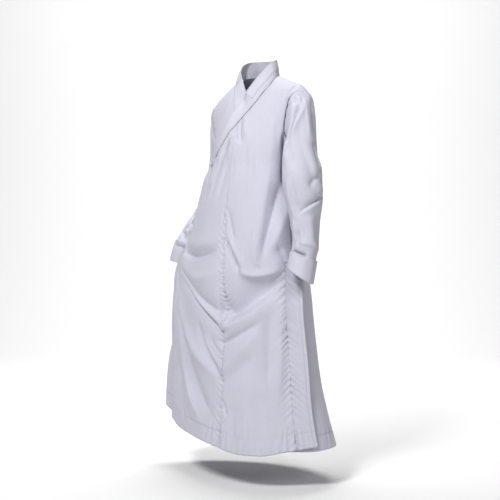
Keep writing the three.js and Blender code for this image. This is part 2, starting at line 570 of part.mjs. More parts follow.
const underBand = band("under_collar_band", UNDER_BAND_COLUMNS, UNDER_BAND_ENDS, -1, 0, 0);
const guard = band("collar_guard", GUARD_COLUMNS, GUARD_ENDS, 1, 1 - GUARD_SHARE, GUARD_LIFT);
const underGuard = band("under_collar_guard", UNDER_GUARD_COLUMNS, mix(NAPE_GAP, UNDER_BAND_ENDS, UNDER_GUARD_COLUMNS / UNDER_BAND_COLUMNS), -1, 1 - GUARD_SHARE, GUARD_LIFT);

// Folds on the sleeves, in millimetres round the sleeve (x, from the outer side over the front) and down it (z, from the first section).
const LEFT_SLEEVE_FOLDS = [
  { x1: 24, z1: 180, x2: 150, z2: 70, bow: 8, width: 17, depth: -7 },
  { x1: 60, z1: 190, x2: 170, z2: 120, bow: 8, width: 16, depth: -5 },
  { x1: -30, z1: -42, x2: 6, z2: -70, bow: 6, width: 12, depth: -6 },
  { x1: 60, z1: -48, x2: 138, z2: -100, bow: 0, width: 14, depth: -5 },
  { x1: -34, z1: -122, x2: 58, z2: -214, bow: -8, width: 13, depth: -8 },
  { x1: -50, z1: -96, x2: 80, z2: -176, bow: -8, width: 17, depth: 5 },
  { x1: 150, z1: -130, x2: 215, z2: -180, bow: 6, width: 14, depth: -6 },
  { x1: 250, z1: -90, x2: 325, z2: -150, bow: 8, width: 16, depth: -6 },
  { x1: 10, z1: -322, x2: 110, z2: -346, bow: -6, width: 10, depth: -6 },
  { x1: 20, z1: -296, x2: 120, z2: -318, bow: -6, width: 12, depth: 5 },
];
const RIGHT_SLEEVE_FOLDS = [
  { x1: 24, z1: 180, x2: 150, z2: 80, bow: 8, width: 17, depth: -7 },
  { x1: 250, z1: -60, x2: 330, z2: -150, bow: 8, width: 17, depth: -6 },
  { x1: 120, z1: -96, x2: 215, z2: -150, bow: 6, width: 14, depth: -7 },
  { x1: 110, z1: -66, x2: 200, z2: -110, bow: 6, width: 16, depth: 5 },
  { x1: 60, z1: -236, x2: 165, z2: -248, bow: -5, width: 11, depth: -7 },
  { x1: 50, z1: -214, x2: 160, z2: -222, bow: -5, width: 12, depth: 5 },
  { x1: 50, z1: -276, x2: 160, z2: -290, bow: -5, width: 11, depth: -6 },
];
const GIRTH = 360; // sleeve girth the folds are laid out on
const ROW_LENGTH = 62; // sleeve length for one row of its table
const CAP_LENGTH = 240; // sleeve length from the armhole to the first section
function sleeveFold(side, s, around) {
  const folds = side > 0 ? LEFT_SLEEVE_FOLDS : RIGHT_SLEEVE_FOLDS;
  const z = -s * (s < 0 ? CAP_LENGTH : ROW_LENGTH);
  const x = around * GIRTH;
  const height = foldHeight(folds, x, z) + foldHeight(folds, x - GIRTH, z);
  return height * ease((1 + s) / 0.2) * ease((FOLDS_END - s) / 0.5);
}

// A sleeve: first from the armhole to the first section, then along the sections. s counts the rows from the armhole at -1.
const AROUND = 20; // columns round a sleeve
const SLEEVE_ENDS = 6.9; // where the sleeves stop, in rows
const FOLDS_END = 6; // where the folds have died out
function sleevePoint(rows, side, s, around) {
  const row = sheetOf(rows, "at");
  const at = Math.max(0, s);
  const r = row(at);
  const next = row(Math.min(at + 0.05, 7));
  const last = row(Math.max(at - 0.05, 0));
  const along = vec(next.x - last.x, next.y - last.y, next.z - last.z).normalize();
  const fore = vec(0, -1, 0).addScaledVector(along, along.y).normalize();
  const out = along.clone().cross(fore).multiplyScalar(-side).normalize();
  if (out.x * side < 0) out.negate();
  const angle = around * 2 * Math.PI;
  const height = sleeveFold(side, s, around);
  const ring = vec(r.x, r.y, r.z).addScaledVector(out, Math.cos(angle) * (r.across + height)).addScaledVector(fore, Math.sin(angle) * (r.deep + height)).addScaledVector(along, Math.cos(angle) * r.slant);
  if (s >= 0) return ring;
  const edge = armhole(side, around).p;
  edge.x += side * ARMHOLE_GAP;
  const reach = edge.distanceTo(ring) * 0.33;
  const leave = ring.clone().sub(edge).normalize().multiplyScalar(0.5).add(vec(side * 0.5, 0, -0.15));
  return bezier(edge, edge.clone().addScaledVector(leave, reach), ring.clone().addScaledVector(along, -reach), ring, 1 + s);
}
function armhole(side, around) {
  const front = around <= 0.5;
  const v = mix(SHOULDER_GAP, 0.999, front ? around * 2 : 2 - around * 2);
  return (front ? (side > 0 ? outer : under) : rear)(side, v);
}
function sleeveAt(rows, side, s, around, lift = 0) {
  const e = 0.01;
  if (s <= -1) return { p: sleevePoint(rows, side, s, around), normal: armhole(side, around).normal };
  const along = sleevePoint(rows, side, Math.min(s + e, 7), around).sub(sleevePoint(rows, side, Math.max(s - e, -1), around));
  const round = sleevePoint(rows, side, s, (around + e) % 1).sub(sleevePoint(rows, side, s, (around - e + 1) % 1));
  const normal = along.cross(round).normalize().multiplyScalar(-side);
  return { p: sleevePoint(rows, side, s, around).addScaledVector(normal, lift), normal };
}
function sleeve(name, table, side, ends) {
  const capRows = 7;
  const all = 24;
  return wall(name, CLOTH_COLOUR, AROUND, all, (i, j) => {
    const s = j * all < capRows ? mix(-1, 0, (j * all) / capRows) : mix(0, ends, (j * all - capRows) / (all - capRows));
    return sleeveAt(table, side, s, side > 0 ? 1 - i : i);
  }, { wrap: true });
}
const leftSleeve = sleeve("left_sleeve", LEFT_SLEEVE, 1, SLEEVE_ENDS);
const rightSleeve = sleeve("right_sleeve", RIGHT_SLEEVE, -1, SLEEVE_ENDS);

// A turned-back cuff: it starts up the sleeve, runs down outside it, turns in round the sleeve's end and stops inside it.
// down is how far past the sleeve's end it stands, out how far off the sleeve's outer face.
const CUFF = [
  { row: 0, down: -72, out: 4.2 },
  { row: 1, down: -58, out: 5 },
  { row: 2, down: -38, out: 5.4 },
  { row: 3, down: -16, out: 5 },
  { row: 4, down: 0, out: 4.4 },
  { row: 5, down: 4.2, out: 2.6 },
  { row: 6, down: 5, out: 0.2 },
  { row: 7, down: 3.4, out: -2.6 },
  { row: 8, down: -6, out: -4.6 },
  { row: 9, down: -20, out: -4.6 },
];
function cuff(name, rows, side, ends, length) {
  const profile = sheetOf(CUFF, "row");
  const place = (row, around) => {
    const { down, out } = profile(row);
    const s = ends + Math.min(down, 0) / length;
    const { p, normal } = sleeveAt(rows, side, s, around);
    const centre = sleevePoint(rows, side, s, around).lerp(sleevePoint(rows, side, s, (around + 0.5) % 1), 0.5);
    const before = sleevePoint(rows, side, s - 0.1, around).lerp(sleevePoint(rows, side, s - 0.1, (around + 0.5) % 1), 0.5);
    const along = centre.sub(before).normalize();
    return p.addScaledVector(normal, out).addScaledVector(along, Math.max(down, 0));
  };
  return wall(name, CLOTH_COLOUR, AROUND, 9, (i, j) => {
    const around = side > 0 ? 1 - i : i;
    const row = j * 9;
    const e = 0.02;
    const p = place(row, around);
    const along = place(Math.min(row + e, 9), around).sub(place(Math.max(row - e, 0), around));
    const round = place(row, (around + e) % 1).sub(place(row, (around - e + 1) % 1));
    return { p, normal: along.cross(round).normalize().multiplyScalar(-side) };
  }, { wrap: true });
}
const leftCuff = cuff("left_cuff", LEFT_SLEEVE, 1, SLEEVE_ENDS, 79);
const rightCuff = cuff("right_cuff", RIGHT_SLEEVE, -1, SLEEVE_ENDS, 43);

// The knot of the closure and the loop round it, on the outer front under the band's end.
const KNOT = { x: -117, z: -329, radius: 5.5, loop: 1.6, rise: 1.4 };
const knotPlace = placeOn(outerFront, KNOT.x, KNOT.z);
const knotSeat = outer(knotPlace.a, knotPlace.v);
const knotGeometry = new THREE.SphereGeometry(KNOT.radius, 12, 8);
const knotCentre = knotSeat.p.clone().addScaledVector(knotSeat.normal, KNOT.radius + KNOT.rise);
knotGeometry.translate(knotCentre.x, knotCentre.y, knotCentre.z);
const knot = named("closure_knot", BAND_COLOUR, knotGeometry);

// The loop runs from the panel's edge round the knot and back, with its middle line at the height of the knot's centre.
function loopGeometry() {
  const sideways = vec(-1, 0, -0.25).addScaledVector(knotSeat.normal, knotSeat.normal.x).normalize();
  const upward = sideways.clone().cross(knotSeat.normal).normalize();
  const radius = KNOT.radius + KNOT.loop + SEAM;
  const points = [];
  for (let k = 0; k <= 4; k++) points.push([14 - k * 3.5, mix(0.5, 1, ease(k / 3)) * radius]);
  for (let k = 1; k < 8; k++) points.push([-Math.sin((k * Math.PI) / 8) * radius, Math.cos((k * Math.PI) / 8) * radius]);
  for (let k = 4; k >= 0; k--) points.push([14 - k * 3.5, -mix(0.5, 1, ease(k / 3)) * radius]);
  const path = new THREE.CatmullRomCurve3(points.map(([along, across]) => {
    const flat = knotSeat.p.clone().addScaledVector(sideways, -along).addScaledVector(upward, across);
    return flat.addScaledVector(knotSeat.normal, KNOT.loop + KNOT.rise);
  }));
  const sides = 6;
  const steps = 24;
  const frames = path.computeFrenetFrames(steps, false);
  const positions = [];
  const index = [];
  for (let j = 0; j <= steps; j++) {
    const centre = path.getPointAt(j / steps);
    for (let i = 0; i < sides; i++) {
      const angle = (i / sides) * 2 * Math.PI;
      const p = centre.clone().addScaledVector(frames.normals[j], Math.cos(angle) * KNOT.loop).addScaledVector(frames.binormals[j], Math.sin(angle) * KNOT.loop);
      positions.push(p.x, p.y, p.z);
    }
  }
  for (let j = 0; j < steps; j++) {
    for (let i = 0; i < sides; i++) {
      const [a, b, c, d] = [j * sides + i, j * sides + ((i + 1) % sides), (j + 1) * sides + ((i + 1) % sides), (j + 1) * sides + i];
      index.push(a, b, c, a, c, d);
    }
  }
  for (let i = 1; i < sides - 1; i++) {
    index.push(0, i + 1, i);
    index.push(steps * sides, steps * sides + i, steps * sides + i + 1);
  }
  const geometry = new THREE.BufferGeometry();
  geometry.setAttribute("position", new THREE.Float32BufferAttribute(positions, 3));
  geometry.setIndex(index);
  return geometry;
}
const loop = named("closure_loop", BAND_COLOUR, loopGeometry());

const robe = new THREE.Group();
robe.name = "kung_fu_robe";
robe.add(backPanel, frontLeft, strip, overlap, underPanel, collarBand, underBand, guard, underGuard, leftSleeve, rightSleeve, leftCuff, rightCuff, knot, loop);
export default robe;
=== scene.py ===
import math
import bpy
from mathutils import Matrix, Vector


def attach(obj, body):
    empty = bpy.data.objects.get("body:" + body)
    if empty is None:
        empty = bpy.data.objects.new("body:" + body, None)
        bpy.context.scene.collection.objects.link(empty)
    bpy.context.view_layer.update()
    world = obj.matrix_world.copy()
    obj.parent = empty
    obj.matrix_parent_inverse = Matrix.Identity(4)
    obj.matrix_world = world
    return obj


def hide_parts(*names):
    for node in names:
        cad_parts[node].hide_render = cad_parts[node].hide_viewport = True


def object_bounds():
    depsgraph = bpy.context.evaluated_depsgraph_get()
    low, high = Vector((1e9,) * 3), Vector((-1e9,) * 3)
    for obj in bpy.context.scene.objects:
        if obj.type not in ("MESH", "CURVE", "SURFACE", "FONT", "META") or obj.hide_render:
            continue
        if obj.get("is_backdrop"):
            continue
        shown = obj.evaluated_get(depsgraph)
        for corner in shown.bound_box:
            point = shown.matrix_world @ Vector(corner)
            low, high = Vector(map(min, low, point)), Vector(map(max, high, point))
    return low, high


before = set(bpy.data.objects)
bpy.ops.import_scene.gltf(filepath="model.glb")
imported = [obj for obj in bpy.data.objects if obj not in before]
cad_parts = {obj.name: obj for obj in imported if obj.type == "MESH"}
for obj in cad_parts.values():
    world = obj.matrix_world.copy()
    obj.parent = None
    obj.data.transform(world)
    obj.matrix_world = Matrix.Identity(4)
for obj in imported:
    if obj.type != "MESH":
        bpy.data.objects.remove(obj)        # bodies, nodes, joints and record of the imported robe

from types import SimpleNamespace

import bpy
import numpy as np
from bpy.props import FloatProperty, FloatVectorProperty, PointerProperty
from mathutils import Vector

bl_info = {
    "name": "Kung fu robe",
    "version": (1, 0, 0),
    "blender": (4, 5, 0),
    "location": "3D View > Sidebar > Robe",
    "description": "Makes a long cross-collar robe in its worn form, piece by piece",
    "category": "Object",
}

FRAME_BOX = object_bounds()
MM = 0.001          # one millimetre in metres

# Small maths. Lengths are millimetres until a mesh is made.

LATTICE = 64        # points to the side of the noise's lattice


def table(columns, *rows):
    """A short table: one array for each named column."""
    return dict(zip(columns.split(), np.array(rows, float).T))


def mix(a, b, t):
    return a + (b - a) * t


def ease(t):
    t = np.clip(t, 0.0, 1.0)
    return t * t * (3 - 2 * t)


def stack(x, y, z):
    return np.stack(np.broadcast_arrays(x, y, z), -1).astype(float)


def unit(p):
    return p / np.maximum(np.linalg.norm(p, axis=-1, keepdims=True), 1e-9)


def curve(rows, key, name):
    """One named column against its key column, as a smooth curve that doesn't overshoot its rows."""
    order = np.argsort(rows[key])
    xs, ys = rows[key][order], rows[name][order]
    chord = np.diff(ys) / np.diff(xs)
    before, after = chord[:-1], chord[1:]
    slopes = np.concatenate([chord[:1], chord[:1].repeat(len(xs) - 2), chord[-1:]])
    both = before + after
    slopes[1:-1] = np.where(before * after > 0, 2 * before * after / np.where(both == 0, 1, both), 0)

    def at(x):
        x = np.clip(x, xs[0], xs[-1])
        i = np.clip(np.searchsorted(xs, x) - 1, 0, len(xs) - 2)
        h = xs[i + 1] - xs[i]
        t = (x - xs[i]) / h
        t2, t3 = t * t, t * t * t
        return (ys[i] * (2 * t3 - 3 * t2 + 1) + slopes[i] * h * (t3 - 2 * t2 + t)
                + ys[i + 1] * (3 * t2 - 2 * t3) + slopes[i + 1] * h * (t3 - t2))

    return at


def row_of(rows, key):
    """All columns of a table at once: gives a row for any value of the key."""
    curves = {name: curve(rows, key, name) for name in rows if name != key}
    return lambda x: SimpleNamespace(**{name: at(x) for name, at in curves.items()})


def bezier(p0, p1, p2, p3, t):
    t = np.asarray(t)[..., None]
    s = 1 - t
    return p0 * s**3 + p1 * 3 * s * s * t + p2 * 3 * s * t * t + p3 * t**3


def noise(x, y, seed):
    """Smooth noise from -1 to 1, with one lattice cell to the unit."""
    lattice = np.random.default_rng(seed).uniform(-1, 1, (LATTICE, LATTICE))
    xi, yi = np.floor(x).astype(int), np.floor(y).astype(int)
    fx, fy = ease(x - xi), ease(y - yi)
    corner = lambda i, j: lattice[(xi + i) % LATTICE, (yi + j) % LATTICE]
    return mix(mix(corner(0, 0), corner(1, 0), fx), mix(corner(0, 1), corner(1, 1), fx), fy)


# The robe's form, after the sizes and tables of its solids. Its folds are finer here.

SEAM = 0.3          # gap between two pieces that are sewn together
ARMHOLE_GAP = 0.75  # the same gap where a sleeve meets its armhole
UNDERARM_Z = -300   # level where the armholes end
OVERLAY = 5.4       # how far the outer front lies above the under front
BAND_LIFT = 2.4     # how far the collar band lies above the front
GUARD_LIFT = 2.3    # how far the collar guard lies above the band
HANDLE = 0.55       # how far a half section's curve keeps its end directions, as a share of its reach
UNDERLAP_SHARE = 0.4    # the back's underlap, as a share of the back's half width
SLIT_Z = -690       # level where the left slit starts

OUTER_FRONT = table(
    "z centre leftX leftY leftTurn rightX rightY rightTurn",
    (-300, 166, 182, -8, 90, -146, -100, 40),
    (-330, 170, 182, -12, 90, -156, -104, 42),
    (-394, 182, 183, -16, 90, -180, -117, 44),
    (-450, 190, 184, -22, 90, -197, -119, 44),
    (-520, 198, 188, -34, 88, -220, -119, 42),
    (-607, 208, 196, -46, 80, -252, -122, 34),
    (-690, 217, 208, -47, 64, -286, -144, 16),
    (-750, 221, 228, -45, 48, -300, -149, 12),
    (-790, 222, 237, -52, 42, -305, -147, 14),
    (-900, 218, 252, -62, 38, -320, -142, 18),
    (-1050, 216, 272, -63, 36, -331, -130, 24),
    (-1200, 226, 289, -65, 38, -342, -120, 30),
    (-1390, 244, 326, -64, 42, -350, -112, 36),
)
BACK = table(
    "z centre leftX leftY leftTurn rightX rightY",
    (-300, 112, 182, -8, 90, -182, 2),
    (-394, 108, 183, -16, 90, -186, 0),
    (-450, 106, 184, -22, 90, -188, -2),
    (-520, 108, 188, -34, 92, -194, -12),
    (-607, 116, 196, -46, 100, -208, -36),
    (-690, 126, 208, -47, 116, -230, -60),
    (-750, 131, 219, -26, 100, -250, -60),
    (-800, 136, 228, -20, 92, -272, -58),
    (-900, 148, 234, -14, 90, -326, -58),
    (-980, 156, 242, -12, 90, -370, -60),
    (-1050, 164, 250, -10, 90, -402, -62),
    (-1150, 178, 264, -8, 90, -420, -62),
    (-1250, 194, 288, -6, 90, -427, -62),
    (-1390, 220, 322, -4, 90, -426, -58),
)
UNDERLAP = table(
    "z knee endX endY",
    (-690, 8, 108, -112),
    (-750, 26, 118, -112),
    (-800, 34, 128, -108),
    (-900, 48, 146, -104),
    (-1050, 52, 168, -104),
    (-1390, 60, 222, -112),
)
FRONT_HEM = table(
    "a z",
    (-1, -1302), (-0.8, -1316), (-0.51, -1326), (-0.08, -1352),
    (0.24, -1373), (0.43, -1374), (0.7, -1359), (1, -1343),
)
BACK_HEM = table("a z", (-1, -1262), (-0.6, -1318), (0, -1370), (0.6, -1366), (1, -1360), (1.4, -1366))
UNDER_HEM = table("a z", (-1, -1262), (-0.6, -1290), (0.4, -1330))
YOKE_FRONT = table(
    "a x y leftZ rightZ topY topZ lowY lowZ",
    (0, 0, -62, -62, -62, -28, -42, 18, 120),
    (0.16, 42, -46, -38, -38, -40, -34, 18, 120),
    (0.32, 76, 0, -4, -8, -62, 0, 18, 124),
    (0.62, 142, 2, -26, -44, -64, 0, 8, 120),
    (0.84, 190, 3, -45, -76, -58, -2, -24, 104),
    (1, 216, 4, -70, -100, -56, -4, -62, 92),
)
YOKE_BACK = table(
    "a x y leftZ rightZ topY topZ lowY lowZ",
    (0, 0, 70, 4, 4, 30, -26, 6, 120),
    (0.16, 44, 54, 3, 3, 40, -16, 6, 120),
    (0.32, 76, 0, -4, -8, 76, 0, 6, 124),
    (0.62, 142, 2, -26, -44, 74, 0, 10, 120),
    (0.84, 190, 3, -45, -76, 64, -2, 36, 104),
    (1, 216, 4, -70, -100, 58, -4, 66, 92),
)
COLLAR_NECK = table(
    "at a edgeX edgeY edgeZ",
    (0, 0, 0, 58, 60),
    (1, 0.17, 38, 46, 60),
    (2, 0.33, 61, 12, 56),
    (3, 0.38, 66, -20, 43),
)
COLLAR_CHEST = table(
    "at seamX seamZ edgeX edgeY edgeZ",
    (3, 92, -17, 66, -20, 43),
    (4, 89, -36, 58, -50, 15),
    (5, 76, -62, 38, -74, -19),
    (6, 57, -101, 8, -92, -64),
    (7, 22, -151, -22, -112, -110),
    (8, -24, -206, -57, -130, -184),
    (9, -58, -254, -77, -130, -241),
    (10, -104, -308, -116, -118, -296),
    (11, -150, -336, -160, -118, -330),
)
NAPE_GAP = 0.004    # where the band starts beside the centre-back seam, in the tables' numbers at
BAND_ENDS = 9.9     # where the collar band ends, at the closure
UNDER_BAND_ENDS = 8.2
GUARD_SHARE = 0.7   # the guard's width as a share of the band's
# the guards end at a column of the bands' solids: the 16th of 26, and the 10th of 18
GUARD_ENDS = mix(NAPE_GAP, BAND_ENDS, 16 / 26)
UNDER_GUARD_ENDS = mix(NAPE_GAP, UNDER_BAND_ENDS, 10 / 18)
LEFT_SLEEVE = table(
    "at x y z across deep slant",
    (0, 238, -66, -320, 60, 70, 0),
    (1, 250, -74, -391, 66, 76, 0),
    (2, 255, -68, -445, 66, 74, 0),
    (3, 258, -66, -482, 60, 68, 0),
    (4, 261, -66, -534, 52, 58, 0),
    (5, 264, -68, -600, 47, 50, 3),
    (6, 266, -84, -664, 45, 48, 12),
    (7, 268, -108, -734, 48, 50, 28),
)
RIGHT_SLEEVE = table(
    "at x y z across deep slant",
    (0, -238, 78, -305, 58, 66, 0),
    (1, -256, 84, -385, 58, 66, 0),
    (2, -263, 58, -468, 56, 62, 0),
    (3, -270, 6, -530, 51, 56, 0),
    (4, -278, -46, -578, 46, 50, 0),
    (5, -290, -76, -624, 44, 48, 0),
    (6, -299, -87, -660, 45, 49, 2),
    (7, -309, -92, -702, 46, 50, 4),
)
CUFF = table(
    "row down out",
    (0, -72, 5.8), (1, -58, 5.6), (2, -38, 5.4), (3, -16, 5), (4, 0, 4.4),
    (5, 4.2, 2.6), (6, 5, 0.2), (7, 3.4, -2.6), (8, -6, -4.6), (9, -20, -4.6),
)

# Folds as seen from the front or back: a ridge (depth above 0) or a trough (below 0) from x1, z1 to x2, z2,
# which runs down or to the robe's left, +X. It bows to its upper or left side by bow, furthest at the share
# at of its length. high and low are the widths of its two flanks, on the upper or left side and on the other
# one. edge is how rounded it is, from 0.1 for a pressed crease up.
FOLD = "x1 z1 x2 z2 bow at high low depth edge"
RELIEF = 1.4        # the share of those depths that the cloth takes
FRONT_FOLDS = table(
    FOLD,
    # chest, from the band and the left armhole
    (-15, -215, -95, -470, -3, 0.5, 9, 14, -11, 0.15),
    (-45, -270, -112, -430, 0, 0.5, 12, 12, 5, 0.4),
    (-66, -300, -128, -470, 2, 0.5, 7, 10, -6, 0.15),
    (-8, -300, -50, -480, 0, 0.5, 10, 12, -3, 0.5),
    (-118, -340, -150, -500, 3, 0.5, 12, 10, -4, 0.5),
    (14, -160, 40, -262, -7, 0.5, 8, 9, -5, 0.2),
    (30, -150, 56, -245, -5, 0.5, 8, 7, 3, 0.4),
    (2, -186, 16, -252, -4, 0.5, 7, 7, -4, 0.2),
    (-28, -232, -32, -330, -3, 0.5, 8, 8, -4, 0.25),
    (56, -250, 63, -370, 2, 0.5, 12, 13, -2.4, 0.5),
    (78, -260, 82, -470, 2, 0.5, 14, 14, 2.4, 0.6),
    (92, -260, 100, -430, 2, 0.5, 13, 10, -2.2, 0.5),
    # beside the left armhole
    (150, -60, 146, -100, 0, 0.5, 5, 6, -3, 0.15),
    (136, -150, 140, -330, 2, 0.5, 8, 16, 3, 0.4),
    (168, -205, 171, -425, 0, 0.5, 9, 5, -19, 0.12),
    (184, -44, 166, -84, 0, 0.5, 5, 5, -3, 0.2),
    # down the left side of the belly to the cuff
    (138, -330, 126, -694, 0, 0.5, 12, 30, 6, 0.35),
    (166, -390, 134, -693, 5, 0.5, 9, 16, -12, 0.25),
    (188, -430, 158, -660, 3, 0.5, 16, 13, 9, 0.35),
    (171, -626, 192, -698, 0, 0.5, 5, 6, -6, 0.2),
    (182, -640, 197, -700, 0, 0.5, 6, 6, 4, 0.3),
    (105, -568, 117, -662, 1, 0.5, 5, 4, -3, 0.15),
    (110, -590, 124, -690, 1, 0.5, 7, 5, 3, 0.3),
    (121, -694, 134, -719, 0, 0.5, 4, 5, -4, 0.15),
    # the middle of the belly
    (8, -490, 46, -615, -3, 0.5, 8, 9, -5, 0.2),
    (2, -598, 72, -728, 0, 0.5, 9, 10, -10, 0.12),
    (16, -594, 88, -714, 0, 0.5, 12, 9, 7, 0.2),
    # swags from the left side, beside the cuff
    (58, -704, 188, -710, -28, 0.42, 32, 20, 15, 0.2),
    (-45, -880, 185, -726, -54, 0.48, 100, 17, -31, 0.2),
    (-45, -938, 180, -772, -30, 0.45, 22, 24, 9, 0.25),
    (-45, -992, 150, -886, -16, 0.5, 16, 22, -9, 0.2),
    (-40, -1105, 142, -922, -12, 0.45, 12, 26, 6, 0.3),
    (-40, -1150, 122, -1010, -12, 0.45, 18, 20, -5, 0.4),
    # straight down from the left side
    (160, -840, 166, -1150, 3, 0.5, 15, 15, -6, 0.4),
    (187, -780, 200, -1200, 3, 0.5, 14, 16, 5, 0.4),
    (208, -850, 226, -1270, 0, 0.5, 12, 12, -3, 0.5),
    # the belly and the swags from the right side
    (-255, -612, -18, -598, -24, 0.5, 40, 22, 6, 0.4),
    (-262, -652, -18, -630, -30, 0.5, 24, 13, -12, 0.25),
    (-272, -690, -8, -712, -48, 0.5, 34, 34, 9, 0.35),
    (-264, -703, 45, -888, -26, 0.55, 30, 8, -9, 0.15),
    (-232, -742, 40, -938, -8, 0.5, 9, 8, 6, 0.25),
    (-236, -752, 40, -968, -4, 0.5, 8, 14, -11, 0.15),
    (-268, -728, -5, -1122, -66, 0.42, 28, 34, 13, 0.35),
    (-122, -902, 2, -1112, -18, 0.4, 8, 12, -8, 0.2),
    (-96, -942, 0, -1078, -10, 0.4, 6, 6, 4, 0.3),
    (-62, -950, -2, -1034, -6, 0.4, 6, 6, -3, 0.3),
    (-240, -848, -5, -1286, -46, 0.5, 22, 30, -8, 0.4),
    (-262, -900, -88, -1296, -30, 0.55, 16, 18, 9, 0.3),
    (-280, -700, -214, -1044, -8, 0.5, 10, 12, -7, 0.3),
    (-296, -740, -254, -1090, -4, 0.5, 12, 12, 6, 0.3),
    (-270, -1050, -212, -1296, -6, 0.5, 16, 14, -6, 0.4),
    (-316, -900, -300, -1260, 0, 0.5, 14, 14, -5, 0.4),
    (-292, -1060, -262, -1300, 0, 0.5, 12, 12, 4, 0.4),
    # towards the hem
    (-202, -1222, -138, -1296, 0, 0.5, 5, 6, -3, 0.25),
    (-236, -1236, -184, -1306, 0, 0.5, 5, 6, -3, 0.25),
    (-170, -1212, -118, -1262, 0, 0.5, 5, 5, -2, 0.25),
    (2, -1178, 30, -1248, 0, 0.5, 5, 8, -5, 0.15),
    (100, -1060, 112, -1370, 0, 0.5, 30, 30, 4, 0.6),
    (146, -1140, 158, -1340, 0, 0.5, 22, 22, -3, 0.6),
    (52, -1190, 60, -1372, 0, 0.5, 22, 26, -4, 0.6),
)
BACK_FOLDS = table(
    FOLD,
    (-70, -150, -95, -620, 6, 0.5, 26, 20, -8, 0.4),
    (75, -160, 92, -600, -5, 0.5, 18, 26, -8, 0.4),
    (-110, -170, -150, -420, 6, 0.5, 16, 22, -6, 0.3),
    (120, -190, 150, -430, -6, 0.5, 22, 16, -6, 0.3),
    (-30, -120, -36, -340, 0, 0.5, 24, 24, 3, 0.6),
    (0, -420, 8, -900, 4, 0.5, 34, 34, 7, 0.5),
    (-168, -470, -40, -570, -18, 0.5, 18, 12, -7, 0.3),
    (40, -580, 166, -490, -16, 0.5, 16, 12, -6, 0.3),
    (-190, -520, -60, -640, -16, 0.5, 14, 18, 5, 0.4),
    (-150, -640, -215, -1310, 0, 0.5, 20, 30, -11, 0.3),
    (150, -650, 205, -1340, 0, 0.5, 26, 18, -11, 0.3),
    (-110, -760, -138, -1350, 4, 0.5, 20, 30, 9, 0.3),
    (112, -740, 126, -1350, -4, 0.5, 30, 20, 9, 0.3),
    (-40, -900, -48, -1365, 0, 0.5, 18, 24, -9, 0.35),
    (52, -880, 60, -1365, 0, 0.5, 24, 18, -9, 0.35),
    (-262, -900, -310, -1300, 0, 0.5, 24, 20, 8, 0.35),
    (-330, -960, -372, -1300, 0, 0.5, 18, 18, -7, 0.35),
)
# Folds on the sleeves, in millimetres round them (x, from the outer side over the front) and along them (z,
# which is 0 at the first section and less below it).
LEFT_SLEEVE_FOLDS = table(
    FOLD,
    # the cap and the outer side of the upper arm
    (54, 226, 66, 176, 0, 0.5, 6, 7, -6, 0.15),
    (40, 224, 34, 176, 0, 0.5, 6, 7, -6, 0.15),
    (46, 216, 50, 150, 0, 0.5, 8, 7, 5, 0.2),
    (44, 182, 102, 56, 0, 0.5, 9, 5, -14, 0.1),
    (32, 170, 88, 56, 0, 0.5, 12, 9, 6, 0.2),
    (33, 212, 16, 40, 0, 0.5, 18, 40, 9, 0.12),
    (-2, 214, -10, 50, 0, 0.5, 30, 26, -9, 0.4),
    (-2, 58, -12, -36, 0, 0.5, 8, 10, -8, 0.2),
    (120, 110, 96, -30, 4, 0.5, 16, 16, 4, 0.5),
    (92, 60, 70, -40, 0, 0.5, 14, 14, -3, 0.5),
    # the elbow
    (-36, -14, 26, -30, 0, 0.5, 62, 46, 8, 0.7),
    (-20, -56, 30, -96, 7, 0.5, 14, 10, -6, 0.25),
    (-26, -90, 12, -128, 0, 0.5, 18, 18, 3, 0.6),
    (-36, -132, 82, -230, 0, 0.5, 13, 7, -9, 0.1),
    (-14, -162, 66, -226, 0, 0.5, 9, 20, 5, 0.3),
    (80, -40, 78, -246, 2, 0.5, 14, 13, -6, 0.35),
    (98, -50, 98, -250, 2, 0.5, 10, 10, 4, 0.4),
    (150, -130, 215, -180, 6, 0.5, 14, 14, -6, 0.3),
    (250, -90, 325, -150, 8, 0.5, 16, 14, -6, 0.3),
    (240, -60, 320, -112, 8, 0.5, 16, 14, 4, 0.3),
    # the forearm and the puff over the cuff
    (34, -226, 24, -330, 0, 0.5, 20, 18, 4, 0.5),
    (-4, -214, -12, -350, 0, 0.5, 16, 16, -6, 0.4),
    (-20, -334, 90, -336, 2, 0.5, 26, 12, 8, 0.3),
    (26, -367, 128, -369, 0, 0.5, 7, 9, -15, 0.1),
    (150, -340, 330, -336, -3, 0.5, 22, 12, 7, 0.3),
    (101, -240, 92, -348, 0, 0.5, 6, 6, 7, 0.2),
    (85, -280, 80, -346, 0, 0.5, 6, 6, -5, 0.2),
    (170, -300, 300, -340, 6, 0.5, 12, 12, -6, 0.3),
    (150, -250, 210, -330, 0, 0.5, 12, 12, 5, 0.3),
)
RIGHT_SLEEVE_FOLDS = table(
    FOLD,
    (24, 180, 150, 80, 8, 0.5, 17, 14, -7, 0.3),
    (250, -60, 330, -150, 8, 0.5, 17, 14, -6, 0.3),
    (120, -96, 215, -150, 6, 0.5, 14, 14, -7, 0.3),
    (110, -66, 200, -110, 6, 0.5, 16, 14, 5, 0.3),
    (60, -190, 84, -216, 0, 0.5, 12, 10, 4, 0.4),
    (84, -210, 101, -258, 0, 0.5, 6, 7, -12, 0.12),
    (88, -260, 52, -282, 0, 0.5, 8, 7, -10, 0.2),
    (44, -286, 116, -308, 3, 0.5, 7, 6, -12, 0.12),
    (54, -276, 118, -290, 3, 0.5, 9, 7, 4, 0.3),
    (66, -326, 190, -316, -4, 0.5, 18, 24, 7, 0.4),
    (58, -352, 200, -352, 4, 0.5, 8, 12, -8, 0.25),
    (200, -300, 330, -330, 6, 0.5, 12, 12, -5, 0.3),
)
GIRTH = 360         # length round a sleeve in the two tables above
ROW_LENGTH = 62     # length of one of a sleeve's sections there
